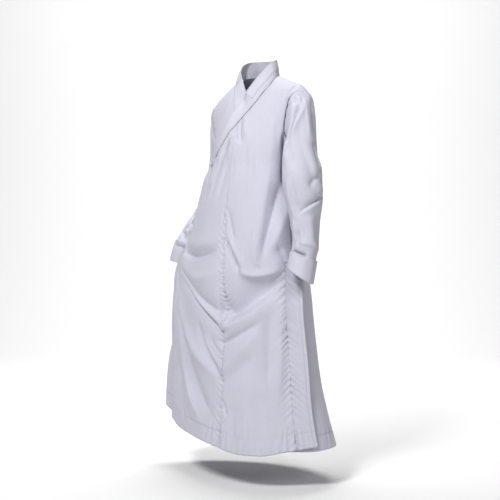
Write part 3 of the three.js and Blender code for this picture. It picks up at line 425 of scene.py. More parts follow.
CAP_LENGTH = 240    # length there from the armhole to the first section
FULL_TURN = 6.283
LAST_SECTION = 7    # the number of a sleeve's last section in its table
SLEEVE_ENDS = 6.9   # the number of the section where the cuff folds back
FOLDS_END = 6.2     # the same for the end of the folds


def half_section(share, centre_y, edge_x, edge_y, turn, handle=HANDLE):
    """A half section in plan, from the centre to an edge, walked by its share of the length."""
    given = (share, centre_y, edge_x, edge_y, turn, handle)
    share, centre_y, edge_x, edge_y, turn, handle = np.broadcast_arrays(*given)
    angle = np.radians(turn)
    reach = mix(np.abs(edge_x), np.abs(edge_y - centre_y), np.sin(angle)) * handle
    pair = lambda x, y: np.stack([x, y], -1)[..., None, :]
    t = np.linspace(0, 1, 33)
    line = bezier(
        pair(0 * edge_x, centre_y),
        pair(edge_x * handle, centre_y),
        pair(edge_x - np.sign(edge_x) * np.cos(angle) * reach,
             edge_y - np.sign(edge_y - centre_y) * np.sin(angle) * reach),
        pair(edge_x, edge_y),
        t,
    )
    steps = np.cumsum(np.linalg.norm(np.diff(line, axis=-2), axis=-1), -1)
    lengths = np.concatenate([0 * steps[..., :1], steps], -1)
    want = np.clip(share, 0, 1) * lengths[..., -1]
    i = np.clip((lengths < want[..., None]).sum(-1), 1, len(t) - 1)[..., None]
    low, high = np.take_along_axis(lengths, i - 1, -1), np.take_along_axis(lengths, i, -1)
    start, end = (np.take_along_axis(line, k[..., None], -2)[..., 0, :] for k in (i - 1, i))
    return mix(start, end, (want[..., None] - low) / (high - low))


front_at = row_of(OUTER_FRONT, "z")
back_at = row_of(BACK, "z")
underlap_at = row_of(UNDERLAP, "z")
front_hem = curve(FRONT_HEM, "a", "z")
back_hem = curve(BACK_HEM, "a", "z")
under_hem = curve(UNDER_HEM, "a", "z")
yoke_front_at = row_of(YOKE_FRONT, "a")
yoke_back_at = row_of(YOKE_BACK, "a")


def outer_below(a, z):
    """The outer front below the underarm level: a point for the share a of its half width and the level z."""
    row, left = front_at(z), a >= 0
    edge_x, edge_y = np.where(left, row.leftX, row.rightX), np.where(left, row.leftY, row.rightY)
    p = half_section(np.abs(a), -row.centre, edge_x, edge_y, np.where(left, row.leftTurn, row.rightTurn))
    return stack(p[..., 0], p[..., 1], z)


def under_inset(z):
    """How far the under front falls back from the outer front below the chest."""
    return OVERLAY + 20 * ease((UNDERARM_Z + 60 - z) / 260)


def under_below(a, z):
    """The same for the under front, which meets the back's right edge."""
    row, back, left = front_at(z), back_at(z), a >= 0
    edge_x = np.where(left, row.leftX - under_inset(z), back.rightX)
    edge_y = np.where(left, row.leftY, back.rightY)
    hollow = ease((SLIT_Z - z) / 300)
    p = half_section(np.abs(a), under_inset(z) - row.centre, edge_x, edge_y, np.where(left, row.leftTurn, 90),
                     np.where(left, HANDLE, mix(HANDLE, 0.24, hollow)))
    return stack(p[..., 0], p[..., 1], z)


def back_below(a, z):
    """The same for the back. Past a = 1 its underlap runs on under the left front."""
    row, lap, left = back_at(z), underlap_at(z), a >= 0
    edge_x, edge_y = np.where(left, row.leftX, row.rightX), np.where(left, row.leftY, row.rightY)
    p = half_section(np.abs(a), row.centre, edge_x, edge_y, np.where(left, row.leftTurn, 90))
    flap = bezier(stack(row.leftX, row.leftY, z), stack(row.leftX, row.leftY - lap.knee * 0.6, z),
                  stack(row.leftX - 6, row.leftY - lap.knee, z), stack(lap.endX, lap.endY, z),
                  np.clip((a - 1) / UNDERLAP_SHARE, 0, 1))
    return np.where((a <= 1)[..., None], stack(p[..., 0], p[..., 1], z), flap)


def drop_of(z):
    """The chart's v for a level below the underarm."""
    return 1 + (UNDERARM_Z - z) / 1000


ARM_CREASE = 13     # depth of the deep crease along the left armhole


def arm_cut(v):
    """How far the left armhole is cut into the front, as a share of the front's half width."""
    return 0.245 * ease(v / 0.42) * ease((1 - v) / 0.3)


def arm_crease(a, v):
    """How deep the crease along the left armhole is at a place of the front."""
    off = (a - 1 + arm_cut(v)) * 200
    return ARM_CREASE * np.exp(-np.abs(off) / 8) * ease((v - 0.25) / 0.2) * ease((1.03 - v) / 0.25)


CHART_COLUMNS = 125     # to a half width
CHART_ROWS = 354        # from the shoulder line to below the hem
YOKE_ROWS = 168         # those of them down to the underarm level
SAMPLE = 1e-3           # step over which a chart's slopes are taken
SEARCH_ROUNDS = 12      # for a place on a chart


class Chart:
    """A surface on an even grid of a and v. a runs from -1 at the right edge to 1 at the left. v runs from 0
    at the shoulder line to 1 at the underarm level, and past 1 it counts the drop below that in metres."""

    def __init__(self, yoke_at, below, turn, left=1.0, inset=0.0):
        """turn is 1 for a front and -1 for the back, left is where a ends, and inset is how far the yoke
        falls back behind another one."""
        self.turn = turn
        self.a = np.linspace(-1, left, round((1 + left) * CHART_COLUMNS) + 1)
        self.v = np.arange(0, CHART_ROWS) / YOKE_ROWS
        row, side = yoke_at(np.abs(self.a)), np.where(self.a < 0, -1, 1)
        top = stack(side * row.x, row.y, np.where(self.a < 0, row.rightZ, row.leftZ))
        foot = below(self.a, np.full(self.a.shape, float(UNDERARM_Z)))
        after_top = top + stack(0, row.topY + inset * 1.7, row.topZ)
        before_foot = stack(mix(foot[..., 0], top[..., 0], 0.12),
                            foot[..., 1] + row.lowY, foot[..., 2] + row.lowZ)
        yoke = bezier(top, after_top, before_foot, foot, self.v[self.v <= 1, None])
        a, z = np.meshgrid(self.a, UNDERARM_Z - (self.v[self.v > 1] - 1) * 1000)
        self.points = np.concatenate([yoke, below(a, z)])
        self.measure()

    def measure(self):
        """Outward normals, and a rim of one cell on all sides so that the edges read true."""
        across, down = np.gradient(self.points, axis=1), np.gradient(self.points, axis=0)
        self.normals = unit(np.cross(across, down) * -self.turn)
        self.rimmed = [self.rim(self.points), self.rim(self.normals)]

    @staticmethod
    def rim(grid):
        grid = np.concatenate([2 * grid[:1] - grid[1:2], grid, 2 * grid[-1:] - grid[-2:-1]])
        return np.concatenate([2 * grid[:, :1] - grid[:, 1:2], grid, 2 * grid[:, -1:] - grid[:, -2:-1]], 1)

    def read(self, grid, a, v):
        """A rimmed grid's values at any places, smooth from cell to cell."""
        value = 0.0
        places = []
        for key, keys in ((v, self.v), (a, self.a)):
            t = (np.clip(key, keys[0], keys[-1] - 1e-9) - keys[0]) / (keys[1] - keys[0])
            i = np.minimum(t.astype(int), len(keys) - 2)
            f = t - i
            weights = ((-f + 2 * f**2 - f**3) / 2, (2 - 5 * f**2 + 3 * f**3) / 2,
                       (f + 4 * f**2 - 3 * f**3) / 2, (f**3 - f**2) / 2)
            places.append((i, weights))
        (i, down), (j, across) = places
        for m in range(4):
            for n in range(4):
                value = value + grid[i + m, j + n] * (down[m] * across[n])[..., None]
        return value

    def __call__(self, a, v, lift=0.0):
        """Points and outward normals, with the points moved out by lift."""
        a, v = np.broadcast_arrays(np.asarray(a, float), np.asarray(v, float))
        normals = unit(self.read(self.rimmed[1], a, v))
        return self.read(self.rimmed[0], a, v) + normals * lift, normals

    def folded(self, folds, creased=False, spare=None):
        """The same surface with folds, which fade towards the side edges and the shoulder line. spare is how
        deep a trough may be before this surface, which lies behind another, gives way to it."""
        made = object.__new__(Chart)
        made.turn, made.a, made.v = self.turn, self.a, self.v
        height = RELIEF * folds(self.points[..., 0], self.points[..., 2])
        if spare is not None:
            height = np.minimum(0, height + spare)
        height *= ease((1 - np.abs(self.a)) / 0.12) * ease(self.v / 0.12)[:, None]
        if creased:
            height -= arm_crease(self.a, self.v[:, None])
        made.points = self.points + self.normals * height[..., None]
        made.measure()
        return made


def place_on(chart, x, z):
    """The place (a, v) where a front surface shows at x and z from the front."""
    a, v = x / 200, np.full_like(x, 0.5)
    for _ in range(SEARCH_ROUNDS):
        p = chart.read(chart.rimmed[0], a, v)
        along_a = (chart.read(chart.rimmed[0], a + SAMPLE, v) - p) / SAMPLE
        along_v = (chart.read(chart.rimmed[0], a, v + SAMPLE) - p) / SAMPLE
        whole = along_a[..., 0] * along_v[..., 2] - along_a[..., 2] * along_v[..., 0]
        dx, dz = x - p[..., 0], z - p[..., 2]
        step_a = np.clip((dx * along_v[..., 2] - dz * along_v[..., 0]) / whole, -0.25, 0.25)
        step_v = np.clip((dz * along_a[..., 0] - dx * along_a[..., 2]) / whole, -0.25, 0.25)
        a, v = np.clip(a + step_a, -0.997, 0.997), np.clip(v + step_v, 0.02, 2)
    return a, v


def fold_height(folds, x, z):
    """How far a table of folds lifts the cloth at x and z."""
    height = np.zeros(np.shape(x))
    for x1, z1, x2, z2, bow, at, high, low, depth, edge in zip(*folds.values()):
        dx, dz = x2 - x1, z2 - z1
        length = math.hypot(dx, dz)
        t = ((x - x1) * dx + (z - z1) * dz) / length**2
        s = np.clip(t, 0, 1)
        half = np.where(s < at, at, 1 - at)
        tilt = -2 * bow * (s - at) / half**2 / length
        beside = ((x - x1) * -dz + (z - z1) * dx) / length
        off = (beside - bow * (1 - ((s - at) / half) ** 2)) / np.sqrt(1 + tilt**2)
        past = (t - s) * length
        taper = np.minimum(ease(s / 0.3 + 0.12), ease((1 - s) / 0.35 + 0.12))
        flank = mix(low, high, 0.5 + 0.5 * np.tanh(off / (0.3 * edge * (low + high))))
        slope = np.sqrt((off / flank) ** 2 + edge**2) - edge
        height += depth * taper * np.exp(-1.35 * slope - (past / (high + low) * 1.6) ** 2)
    return height


SEAM_ECHO = 16      # how far the folds of one half of the front reach over its centre seam


def front_folds(x, z):
    """The front's folds. Those of each half are mirrored for a little way past the centre seam, where they
    meet in a V."""
    middle = FRONT_FOLDS["x1"] + FRONT_FOLDS["x2"]
    height = np.zeros(np.shape(x))
    for side in (1, -1):
        rows = {name: column[middle * side > 0] for name, column in FRONT_FOLDS.items()}
        past = np.maximum(0, -x * side)
        height += fold_height(rows, np.abs(x) * side, z) * np.exp(-((past / SEAM_ECHO) ** 2))
    return height


def back_folds(x, z):
    return fold_height(BACK_FOLDS, x, z)


outer_front = Chart(yoke_front_at, outer_below, 1)
under_front = Chart(yoke_front_at, under_below, 1, inset=OVERLAY)
outer = outer_front.folded(front_folds, creased=True)
under = under_front.folded(front_folds, spare=3.0)
rear = Chart(yoke_back_at, back_below, -1, left=1 + UNDERLAP_SHARE).folded(back_folds)

# The band's seam edge on the front, as the level v for each share a. The panels start TUCK above it, under
# the band.
TUCK = 0.01
SHOULDER_GAP = 0.0013   # how far the panels start below the shoulder line
NECK_LEVEL = 0.04       # v of the band's seam edge beside the neck, on the front
NAPE_LEVEL = 0.035      # the same on the back
seam_a, seam_v = place_on(outer_front, COLLAR_CHEST["seamX"], COLLAR_CHEST["seamZ"])
seam_v[0] = NECK_LEVEL
seam_level = curve({"a": seam_a, "v": seam_v}, "a", "v")
NECK_SHARE = seam_a[0]
SLIT = drop_of(SLIT_Z)


def front_top(a):
    """The v where a front panel starts: under the collar band, or at the shoulder line."""
    return np.where(a >= NECK_SHARE, SHOULDER_GAP, np.maximum(SHOULDER_GAP, seam_level(a) - TUCK))


def half_width(v):
    """The front's half width in millimetres, near enough to turn a seam gap into a share of it."""
    return 230 + 130 * np.clip((v - 1.2) / 0.9, 0, 1)


def strip_share(v):
    """The side strip's width as a share of the front's half width. It is narrow at the slit's start and
    widens below."""
    return mix(0.16, 0.205, ease((v - SLIT + 0.05) / 0.16))


def seam_half(v):
    """Half the gap at a seam, as a share of the front's half width."""
    return SEAM / 2 / half_width(v)


def right_seam_half(v):
    """The same at the right side seam, where the gap is wider below the slit's level."""
    return seam_half(v) * (1 + 2 * ease((v - SLIT) / 0.25))


# Cloth: a grid of points on a piece's outer face, with what its finish needs.

CLOTH_WALL = 1.0    # thickness of the cloth
BAND_WALL = 1.5     # the collar's cloth is doubled
CUFF_WALL = 1.2
HEM_DEPTH = 56      # stitched line of the turned-up hem, above the hem
EDGE_STITCH = 12    # the same for a free side edge
BAND_STITCH = 5     # the same for the edges of the band and the guard
CUFF_STITCH = 6     # the same for the cuff's upper edge
CROWDED_ABOVE = 0.9     # powers that crowd the grid's rows towards the level where the slit starts
CROWDED_BELOW = 1.12


def spread(count, ends=0.4):
    """Shares from 0 to 1 that lie closer near both ends, where the seams are."""
    t = np.linspace(0, 1, count + 1)
    return t - (1 - ends) * np.sin(2 * np.pi * t) / (2 * np.pi)


class Cloth:
    """Points of a cloth piece on a grid of rows and columns, with its flat coordinates in millimetres. wrap
    joins its last column to its first."""

    def __init__(self, points, wrap=False):
        self.points, self.wrap = points, wrap
        self.measure()

    def measure(self):
        across = np.linalg.norm(np.diff(self.points, axis=1), axis=-1)
        down = np.linalg.norm(np.diff(self.points, axis=0), axis=-1)
        self.across = np.concatenate([np.zeros((self.points.shape[0], 1)), np.cumsum(across, 1)], 1)
        self.down = np.concatenate([np.zeros((1, self.points.shape[1])), np.cumsum(down, 0)], 0)
        self.to_left, self.to_right = self.across, self.across[:, -1:] - self.across
        self.to_top, self.to_hem = self.down, self.down[-1:] - self.down

    def normals(self):
        p = self.points
        if self.wrap:
            p = np.concatenate([p[:, -2:-1], p, p[:, 1:2]], 1)
        across, down = np.gradient(p, axis=1), np.gradient(p, axis=0)
        outwards = unit(-np.cross(across, down))
        return outwards[:, 1:-1] if self.wrap else outwards

    def raise_by(self, height):
        self.points = self.points + self.normals() * height[..., None]


def linked(name, data):
    """A new object in the scene."""
    obj = bpy.data.objects.new(name, data)
    bpy.context.scene.collection.objects.link(obj)
    return obj


def fill(values, key, rows):
    """Sets one value of all points or corners of a mesh."""
    values.foreach_set(key, rows.astype(np.float32).ravel())


def mesh_object(name, points, faces, uv, stitched):
    """A mesh object from points in millimetres and quads, with a UV and the value stitched for each point."""
    mesh = bpy.data.meshes.new(name)
    mesh.vertices.add(len(points))
    fill(mesh.vertices, "co", points * MM)
    mesh.loops.add(faces.size)
    mesh.loops.foreach_set("vertex_index", faces.astype(np.int32).ravel())
    mesh.polygons.add(len(faces))
    mesh.polygons.foreach_set("loop_start", np.arange(0, faces.size, 4, dtype=np.int32))
    mesh.update(calc_edges=True)
    fill(mesh.uv_layers.new(name="cloth").data, "uv", uv[faces.ravel()] * MM)
    fill(mesh.attributes.new("stitched", "FLOAT", "POINT").data, "value", stitched)
    mesh.polygons.foreach_set("use_smooth", np.ones(len(faces), bool))
    mesh.validate()
    return linked(name, mesh)


def shell(name, cloth, wall, keep=None, stitched=None):
    """A closed cloth wall on a grid of points. keep says which cells are cloth, and stitched is 1 along the
    stitched lines, where it paints shade into the cloth's colour."""
    inner_face = cloth.points - cloth.normals() * wall
    shift = cloth.across.size
    number = np.arange(shift).reshape(cloth.across.shape)
    if cloth.wrap:
        number[:, -1] = number[:, 0]
    a, b, c, d = number[:-1, :-1], number[1:, :-1], number[1:, 1:], number[:-1, 1:]
    cells = np.ones(a.shape, bool) if keep is None else keep
    faces = [np.stack([a, b, c, d], -1)[cells], np.stack([a, d, c, b], -1)[cells] + shift]
    none = np.zeros_like(cells)
    above, below = none.copy(), none.copy()
    above[1:], below[:-1] = cells[:-1], cells[1:]
    before, after = none.copy(), none.copy()
    before[:, 1:], after[:, :-1] = cells[:, :-1], cells[:, 1:]
    if cloth.wrap:
        before[:, 0], after[:, -1] = cells[:, -1], cells[:, 0]
    rims = [(cells & ~above, d, a), (cells & ~below, b, c), (cells & ~before, a, b), (cells & ~after, c, d)]
    for edge, m, n in rims:
        m, n = m[edge], n[edge]
        faces.append(np.stack([n, m, m + shift, n + shift], -1))
    used, faces = np.unique(np.concatenate(faces), return_inverse=True)
    points = np.concatenate([cloth.points.reshape(-1, 3), inner_face.reshape(-1, 3)])
    flat = np.stack([cloth.across, cloth.down], -1).reshape(-1, 2)
    line = np.zeros(shift) if stitched is None else stitched.ravel()
    uv, lines = np.concatenate([flat, flat]), np.concatenate([line, line * 0])
    return mesh_object(name, points[used], faces.reshape(-1, 4), uv[used], lines[used])


def row_level(top, hem, split, j):
    """A grid row's level. The slit lies on the row at the share split."""
    upper = mix(top, SLIT, np.clip(j / split, 0, 1) ** CROWDED_ABOVE)
    lower = mix(SLIT, hem, np.clip((j - split) / (1 - split), 0, 1) ** CROWDED_BELOW)
    return np.where(j <= split, upper, lower)


SETTLING_ROUNDS = 6     # a and v of a grid point depend on each other


def panel_places(columns, rows, above, edges, top, hem):
    """The (a, v) of a panel's grid points between its edges, from its top to its hem, with above of its rows
    over the level where the slit starts."""
    i, j = np.meshgrid(columns, np.linspace(0, 1, rows + 1))
    v = np.ones_like(i)
    for _ in range(SETTLING_ROUNDS):
        a = edges(v, i)
        v = row_level(top(a[:1]), drop_of(hem(a[-1:])), above / rows, j)
    return a, v


def wave(s, pitch, seed):
    """Uneven waves along a line, from -1 to 1."""
    drift = 3.4 * noise(s / (pitch * 2.3), 0 * s, seed)
    return np.sin(2 * np.pi * s / pitch + drift) * (0.85 + 0.4 * noise(s / (pitch * 1.4), 0 * s, seed + 1))


def puckers(distance, along, reach, pitch, depth, slant, seed):
    """Small creases that leave a seam on a slant, die out at reach and come in bunches."""
    bunch = 1.0 + 0.3 * noise(along / (pitch * 4), 0 * along, seed + 5)
    fall = np.exp(-((distance / reach) ** 1.6))
    return depth * bunch * fall * wave(along + slant * distance, pitch, seed)


def centre_puckers(distance, z):
    """The centre seam's puckers: short ones right at the seam, and longer ones that hang from it like a V."""
    pull = ease((-300 - z) / 300) * (0.9 + 0.6 * np.exp(-(((z + 885) / 45) ** 2)))
    return (puckers(distance, z, 12, 16, 2.6, -0.4, 24) + puckers(distance, z, 24, 29, 1.7, -0.9, 21)) * pull


def seam_roll(distance, depth=1.1, width=2.4):
    """Cloth that turns in at a seam."""
    return -depth * np.exp(-((distance / width) ** 2))


def side_groove(distance, z):
    """The deep groove of the left side seam, which lies beside the sleeve."""
    return seam_roll(distance, 14, 10) * (ease((-400 - z) / 80) * ease((z + 700) / 40))


def band_groove(to_top, a):
    """The narrow groove in a front along the collar band's seam edge. It ends where the neckline starts."""
    return -2.1 * stitch_line(to_top, 5, 3.0) * ease((NECK_SHARE - a) / 0.05)


def stitch_line(distance, at, width=1.6):
    """A value that is 1 at a set distance from an edge and falls to 0 beside it."""
    return np.exp(-(((distance - at) / width) ** 2))


def hem_finish(cloth, seed):
    """The turned-up hem: a little proud, with a pulled stitch line and small upright puckers."""
    up, along = cloth.to_hem, cloth.across
    proud = 0.5 * ease((HEM_DEPTH + 2 - up) / 4)
    line = -1.6 * stitch_line(up, HEM_DEPTH, 3.0)
    ripple = (1.6 * wave(along, 17, seed) * stitch_line(up, HEM_DEPTH, 22)
              + 1.7 * wave(along + 40, 26, seed + 9) * ease((HEM_DEPTH + 20 - up) / 40))
    return proud + line + ripple


def crumple(x, z, seed, size, depth):
    """Soft uneven rumples, longer downwards than across."""
    big = noise(x / size, z / (size * 2.2), seed)
    small = noise(x / (size * 0.37) + 7, z / (size * 0.7), seed + 1)
    return depth * (big + 0.35 * small)


def cut_size(cloth, keep=None):
    """The width and length, and the area, of a piece's cut when it lies flat, in metres."""
    p = cloth.points * MM
    across, down = np.linalg.norm(np.diff(p, axis=1), axis=-1), np.linalg.norm(np.diff(p, axis=0), axis=-1)
    cells = np.linalg.norm(np.cross(p[1:, 1:] - p[:-1, :-1], p[1:, :-1] - p[:-1, 1:]), axis=-1) / 2
    kept = np.ones(cells.shape, bool) if keep is None else keep
    width, length = (across[:-1] * kept).sum(1).max(), (down[:, :-1] * kept).sum(0).max()
    return (round(float(width), 3), round(float(length), 3)), round(float((cells * kept).sum()), 4)


def finish_piece(cloth, node, wall=CLOTH_WALL, keep=None, stitched=None, rows=()):
    """Makes a piece's cloth wall and its stitches, hides the solid that it stands for and measures how its
    cloth was cut. rows holds its rows of stitches, each as what line_on takes after the cloth. stitched is
    how much painted shade darkens the cloth at each point, where that isn't 1 along each of them."""
    of_collar = "collar" in node
    lines = [line_on(cloth, *row) for row in rows]
    if rows and stitched is None:
        stitched = np.maximum.reduce([stitch_line(distance, at) for distance, at, *rest in rows])
    obj = shell(node + "_cloth", cloth, wall, keep, stitched)
    obj.data.materials.append(collar_cloth() if of_collar else robe_cloth())
    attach(obj, "root")
    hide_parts(node)
    sewn = [stitches(node + "_stitches", lines)] if lines else []
    flat, area = cut_size(cloth, keep)


# Materials: shader sums written as Python sums.


class Socket:
    """A shader value that can be used in sums."""

    def __init__(self, tree, socket):
        self.tree, self.socket = tree, socket

    def _maths(self, operation, *values):
        return self.tree.node("ShaderNodeMath", {"operation": operation}, *values)

    def __add__(self, other):
        return self._maths("ADD", self, other)

    def __radd__(self, other):
        return self._maths("ADD", other, self)

    def __sub__(self, other):
        return self._maths("SUBTRACT", self, other)

    def __rsub__(self, other):
        return self._maths("SUBTRACT", other, self)

    def __mul__(self, other):
        return self._maths("MULTIPLY", self, other)

    def __rmul__(self, other):
        return self._maths("MULTIPLY", other, self)


class Tree:
    """A material's node tree, with one method for any node."""

    def __init__(self, name):
        self.material = bpy.data.materials.new(name)
        self.material.use_nodes = True
        self.nodes, self.links = self.material.node_tree.nodes, self.material.node_tree.links
        self.nodes.clear()

    def node(self, kind, settings=None, *values, output=0, **named):
        """A new node's output. Its inputs are given in their order, or by name with _ for a space."""
        made = self.nodes.new(kind)
        for key, value in (settings or {}).items():
            setattr(made, key, value)
        pairs = list(enumerate(values)) + [(key.replace("_", " "), value) for key, value in named.items()]
        for key, value in pairs:
            if isinstance(value, Socket):
                self.links.new(value.socket, made.inputs[key])
            else:
                made.inputs[key].default_value = value
        return Socket(self, made.outputs[output]) if made.outputs else None


DARKEST = 0.6       # the darkest tone of a cloth, as a share of its colour
LIGHTEST = 1.08     # the lightest
YARN_SCALE = 340.0  # gives 0.9 mm to a pair of yarns


def cloth_material(name, colour, weave=1.0):
    """Plain weave with slubs, faint streaks and a soft sheen, with painted shade along the stitched lines."""
    tree = Tree(name)
    uv = tree.node("ShaderNodeUVMap", {"uv_map": "cloth"})
    place = tree.node("ShaderNodeTexCoord", output=3)
    stitched = tree.node("ShaderNodeAttribute", {"attribute_name": "stitched"}, output=2)

    def yarns(direction):
        settings = {"wave_type": "BANDS", "bands_direction": direction, "wave_profile": "SIN"}
        return tree.node("ShaderNodeTexWave", settings, uv, Scale=YARN_SCALE, Distortion=0.6, Detail=1.0,
                         output=1)

    def streaks(stretch, strength):
        """Thicker yarns that show as faint streaks, stretched one way."""
        drawn_out = tree.node("ShaderNodeVectorMath", {"operation": "MULTIPLY"}, uv, stretch)
        streak = tree.node("ShaderNodeTexNoise", {}, drawn_out, Scale=1.0, Detail=2.0, Roughness=0.7)
        return (streak - 0.5) * strength

    warp, weft = yarns("X"), yarns("Y")
    slub = tree.node("ShaderNodeTexNoise", {}, uv, Scale=900.0, Detail=2.0, Roughness=0.6)
    clouds = tree.node("ShaderNodeTexNoise", {}, place, Scale=7.0, Detail=3.0, Roughness=0.5)
    down, across = streaks((210.0, 7.0, 1.0), 0.10), streaks((9.0, 190.0, 1.0), 0.08)
    # stitched takes up to 0.16 off the tone: painted shade in the grooves of the stitched lines
    tone = 0.965 + clouds * 0.05 + (warp + weft) * 0.012 + slub * 0.02 + down + across - stitched * 0.16
    share = (tone - DARKEST) * (1 / (LIGHTEST - DARKEST))
    dark = tuple(c * DARKEST for c in colour[:3]) + (1.0,)
    light = tuple(min(1.0, c * LIGHTEST) for c in colour[:3]) + (1.0,)
    base = tree.node("ShaderNodeMix", {"data_type": "RGBA"}, share, output=2)
    made = base.socket.node
    made.inputs[6].default_value, made.inputs[7].default_value = dark, light
    rough = 0.60 + clouds * 0.12
    height = (warp * weft) * 0.5 + slub * 0.5
    bump = tree.node("ShaderNodeBump", {}, Strength=0.22 * weave, Distance=0.0003, Height=height)
    shader = tree.node("ShaderNodeBsdfPrincipled", {}, Base_Color=base, Roughness=rough, Normal=bump,
                       Sheen_Weight=0.10, Sheen_Roughness=0.45, Specular_IOR_Level=0.28)
    tree.node("ShaderNodeOutputMaterial", {}, shader)
    return tree.material


def plain_material(name, colour, roughness):
    tree = Tree(name)
    shader = tree.node("ShaderNodeBsdfPrincipled", {}, Base_Color=colour, Roughness=roughness)
    tree.node("ShaderNodeOutputMaterial", {}, shader)
    return tree.material


def material(name, make):
    """The material of this name, made by make if it isn't there yet."""
    return bpy.data.materials.get(name) or make(name)


def robe_cloth():
    chosen = bpy.context.scene.robe_cloth
    return material("robe_cloth_weave", lambda name: cloth_material(name, tuple(chosen.cloth_colour)))


def collar_cloth():
    chosen = bpy.context.scene.robe_cloth
    return material("collar_cloth_weave", lambda name: cloth_material(name, tuple(chosen.collar_colour), 0.8))


def thread():
    chosen = bpy.context.scene.robe_cloth
    return material("sewing_thread", lambda name: plain_material(name, tuple(chosen.thread_colour), 0.55))


# Stitches: geometry nodes lay one small stitch at each step of a line.

STITCH_STEP = 3.2
STITCH_LENGTH = 2.4
THREAD = 0.5        # the thread's thickness


def line_on(cloth, distance, at, axis=0, part=slice(None)):
    """A line on the cloth at a set distance from an edge, as points and normals. It is found down each column
    for axis 0 and along each row for axis 1. part picks the columns or rows that it crosses."""
    turned = [grid.swapaxes(0, 1) if axis else grid for grid in (cloth.points, cloth.normals(), distance)]
    points, normals, distance = (grid[:, part] for grid in turned)
    i = (np.diff(np.sign(distance - at), axis=0) != 0).argmax(0)
    j = np.arange(distance.shape[1])
    t = ((at - distance[i, j]) / (distance[i + 1, j] - distance[i, j]))[:, None]
    return mix(points[i, j], points[i + 1, j], t), unit(mix(normals[i, j], normals[i + 1, j], t))


def stitch_tree():
    """The stitch maker, with its sizes as named inputs."""
    made = bpy.data.node_groups.get("stitch maker")
    if made:
        return made
    made = bpy.data.node_groups.new("stitch maker", "GeometryNodeTree")
    sockets = {"Line": "Geometry", "Step": "Float", "Stitch length": "Float", "Thread": "Float",
               "Material": "Material"}
    for name, kind in sockets.items():
        made.interface.new_socket(name=name, in_out="INPUT", socket_type="NodeSocket" + kind)
    made.interface.new_socket(name="Stitches", in_out="OUTPUT", socket_type="NodeSocketGeometry")

    def node(kind, settings=None, **values):
        new = made.nodes.new(kind)
        for key, value in (settings or {}).items():
            setattr(new, key, value)
        for key, value in values.items():
            target = new.inputs[key.replace("_", " ")]
            if isinstance(value, bpy.types.NodeSocket):
                made.links.new(value, target)
            else:
                target.default_value = value
        return new.outputs

    given = node("NodeGroupInput")
    path = node("GeometryNodeMeshToCurve", Mesh=given["Line"])["Curve"]
    steps = node("GeometryNodeResampleCurve", {"mode": "LENGTH"}, Curve=path, Length=given["Step"])["Curve"]
    upwards = node("GeometryNodeInputNamedAttribute", {"data_type": "FLOAT_VECTOR"},
                   Name="upwards")["Attribute"]
    forwards = node("GeometryNodeInputTangent")["Tangent"]
    turn = node("FunctionNodeAxesToRotation", {"primary_axis": "Z", "secondary_axis": "X"},
                Primary_Axis=upwards, Secondary_Axis=forwards)["Rotation"]
    bead = node("GeometryNodeMeshUVSphere", Segments=6, Rings=4, Radius=0.5)["Mesh"]
    size = node("ShaderNodeCombineXYZ", X=given["Stitch length"], Y=given["Thread"],
                Z=given["Thread"])["Vector"]
    laid = node("GeometryNodeInstanceOnPoints", Points=steps, Instance=bead, Rotation=turn,
                Scale=size)["Instances"]
    real = node("GeometryNodeRealizeInstances", Geometry=laid)["Geometry"]
    painted = node("GeometryNodeSetMaterial", Geometry=real, Material=given["Material"])["Geometry"]
    node("NodeGroupOutput", Stitches=painted)
    return made


def stitches(name, lines):
    """The stitches along some lines of a piece, as one plain mesh."""
    points, normals = (np.concatenate(grids) for grids in zip(*lines))
    joined = np.concatenate([[True] * (len(line) - 1) + [False] for line, _ in lines])
    edges = np.flatnonzero(joined)[:, None] + [0, 1]
    mesh = bpy.data.meshes.new(name)
    mesh.vertices.add(len(points))
    fill(mesh.vertices, "co", points * MM)
    mesh.edges.add(len(edges))
    mesh.edges.foreach_set("vertices", edges.astype(np.int32).ravel())
    fill(mesh.attributes.new("upwards", "FLOAT_VECTOR", "POINT").data, "vector", normals)
    obj = linked(name, mesh)
    maker = obj.modifiers.new("stitch maker", "NODES")
    maker.node_group = stitch_tree()
    values = {"Step": STITCH_STEP * MM, "Stitch length": STITCH_LENGTH * MM, "Thread": THREAD * MM,
              "Material": thread()}
    for item in maker.node_group.interface.items_tree:
        if item.in_out == "INPUT" and item.name in values:
            maker[item.identifier] = values[item.name]
    evaluated = obj.evaluated_get(bpy.context.evaluated_depsgraph_get())
    plain = bpy.data.meshes.new_from_object(evaluated)
    obj.modifiers.remove(maker)
    obj.data = plain
    plain.polygons.foreach_set("use_smooth", [True] * len(plain.polygons))
    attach(obj, "root")
    return obj


# Body panels


ROWS_ABOVE = 132    # the front panels' grid rows above the level where the slit starts
ROWS_BELOW = 130
STRIP_GAP = 0.0004  # v between the strip's upper edge and the left front


def front_left_places(core, side):
    """The left front's (a, v), with core columns up to the strip's seam and side columns past it, and the
    cells that are kept."""
    neck, seam_share, side_share = 0.42, 0.8, 0.2
    columns = np.concatenate([spread(core, 0.35) * seam_share,
                              seam_share + side_share * spread(side, 0.5)[1:]])

    def edges(v, i):
        far = 1 - arm_cut(v)
        seam = far - strip_share(v) - seam_half(v)
        to_neck = mix(seam_half(v), NECK_SHARE, i / neck)
        to_seam = mix(NECK_SHARE, seam, (i - neck) / (seam_share - neck))
        past_seam = mix(seam, far - seam_half(v), (i - seam_share) / side_share)
        return np.where(i <= neck, to_neck, np.where(i <= seam_share, to_seam, past_seam))

    a, v = panel_places(columns, ROWS_ABOVE + ROWS_BELOW, ROWS_ABOVE, edges, front_top, front_hem)
    keep = np.ones((ROWS_ABOVE + ROWS_BELOW, core + side), bool)
    keep[ROWS_ABOVE:, core:] = False
    return a, v, keep


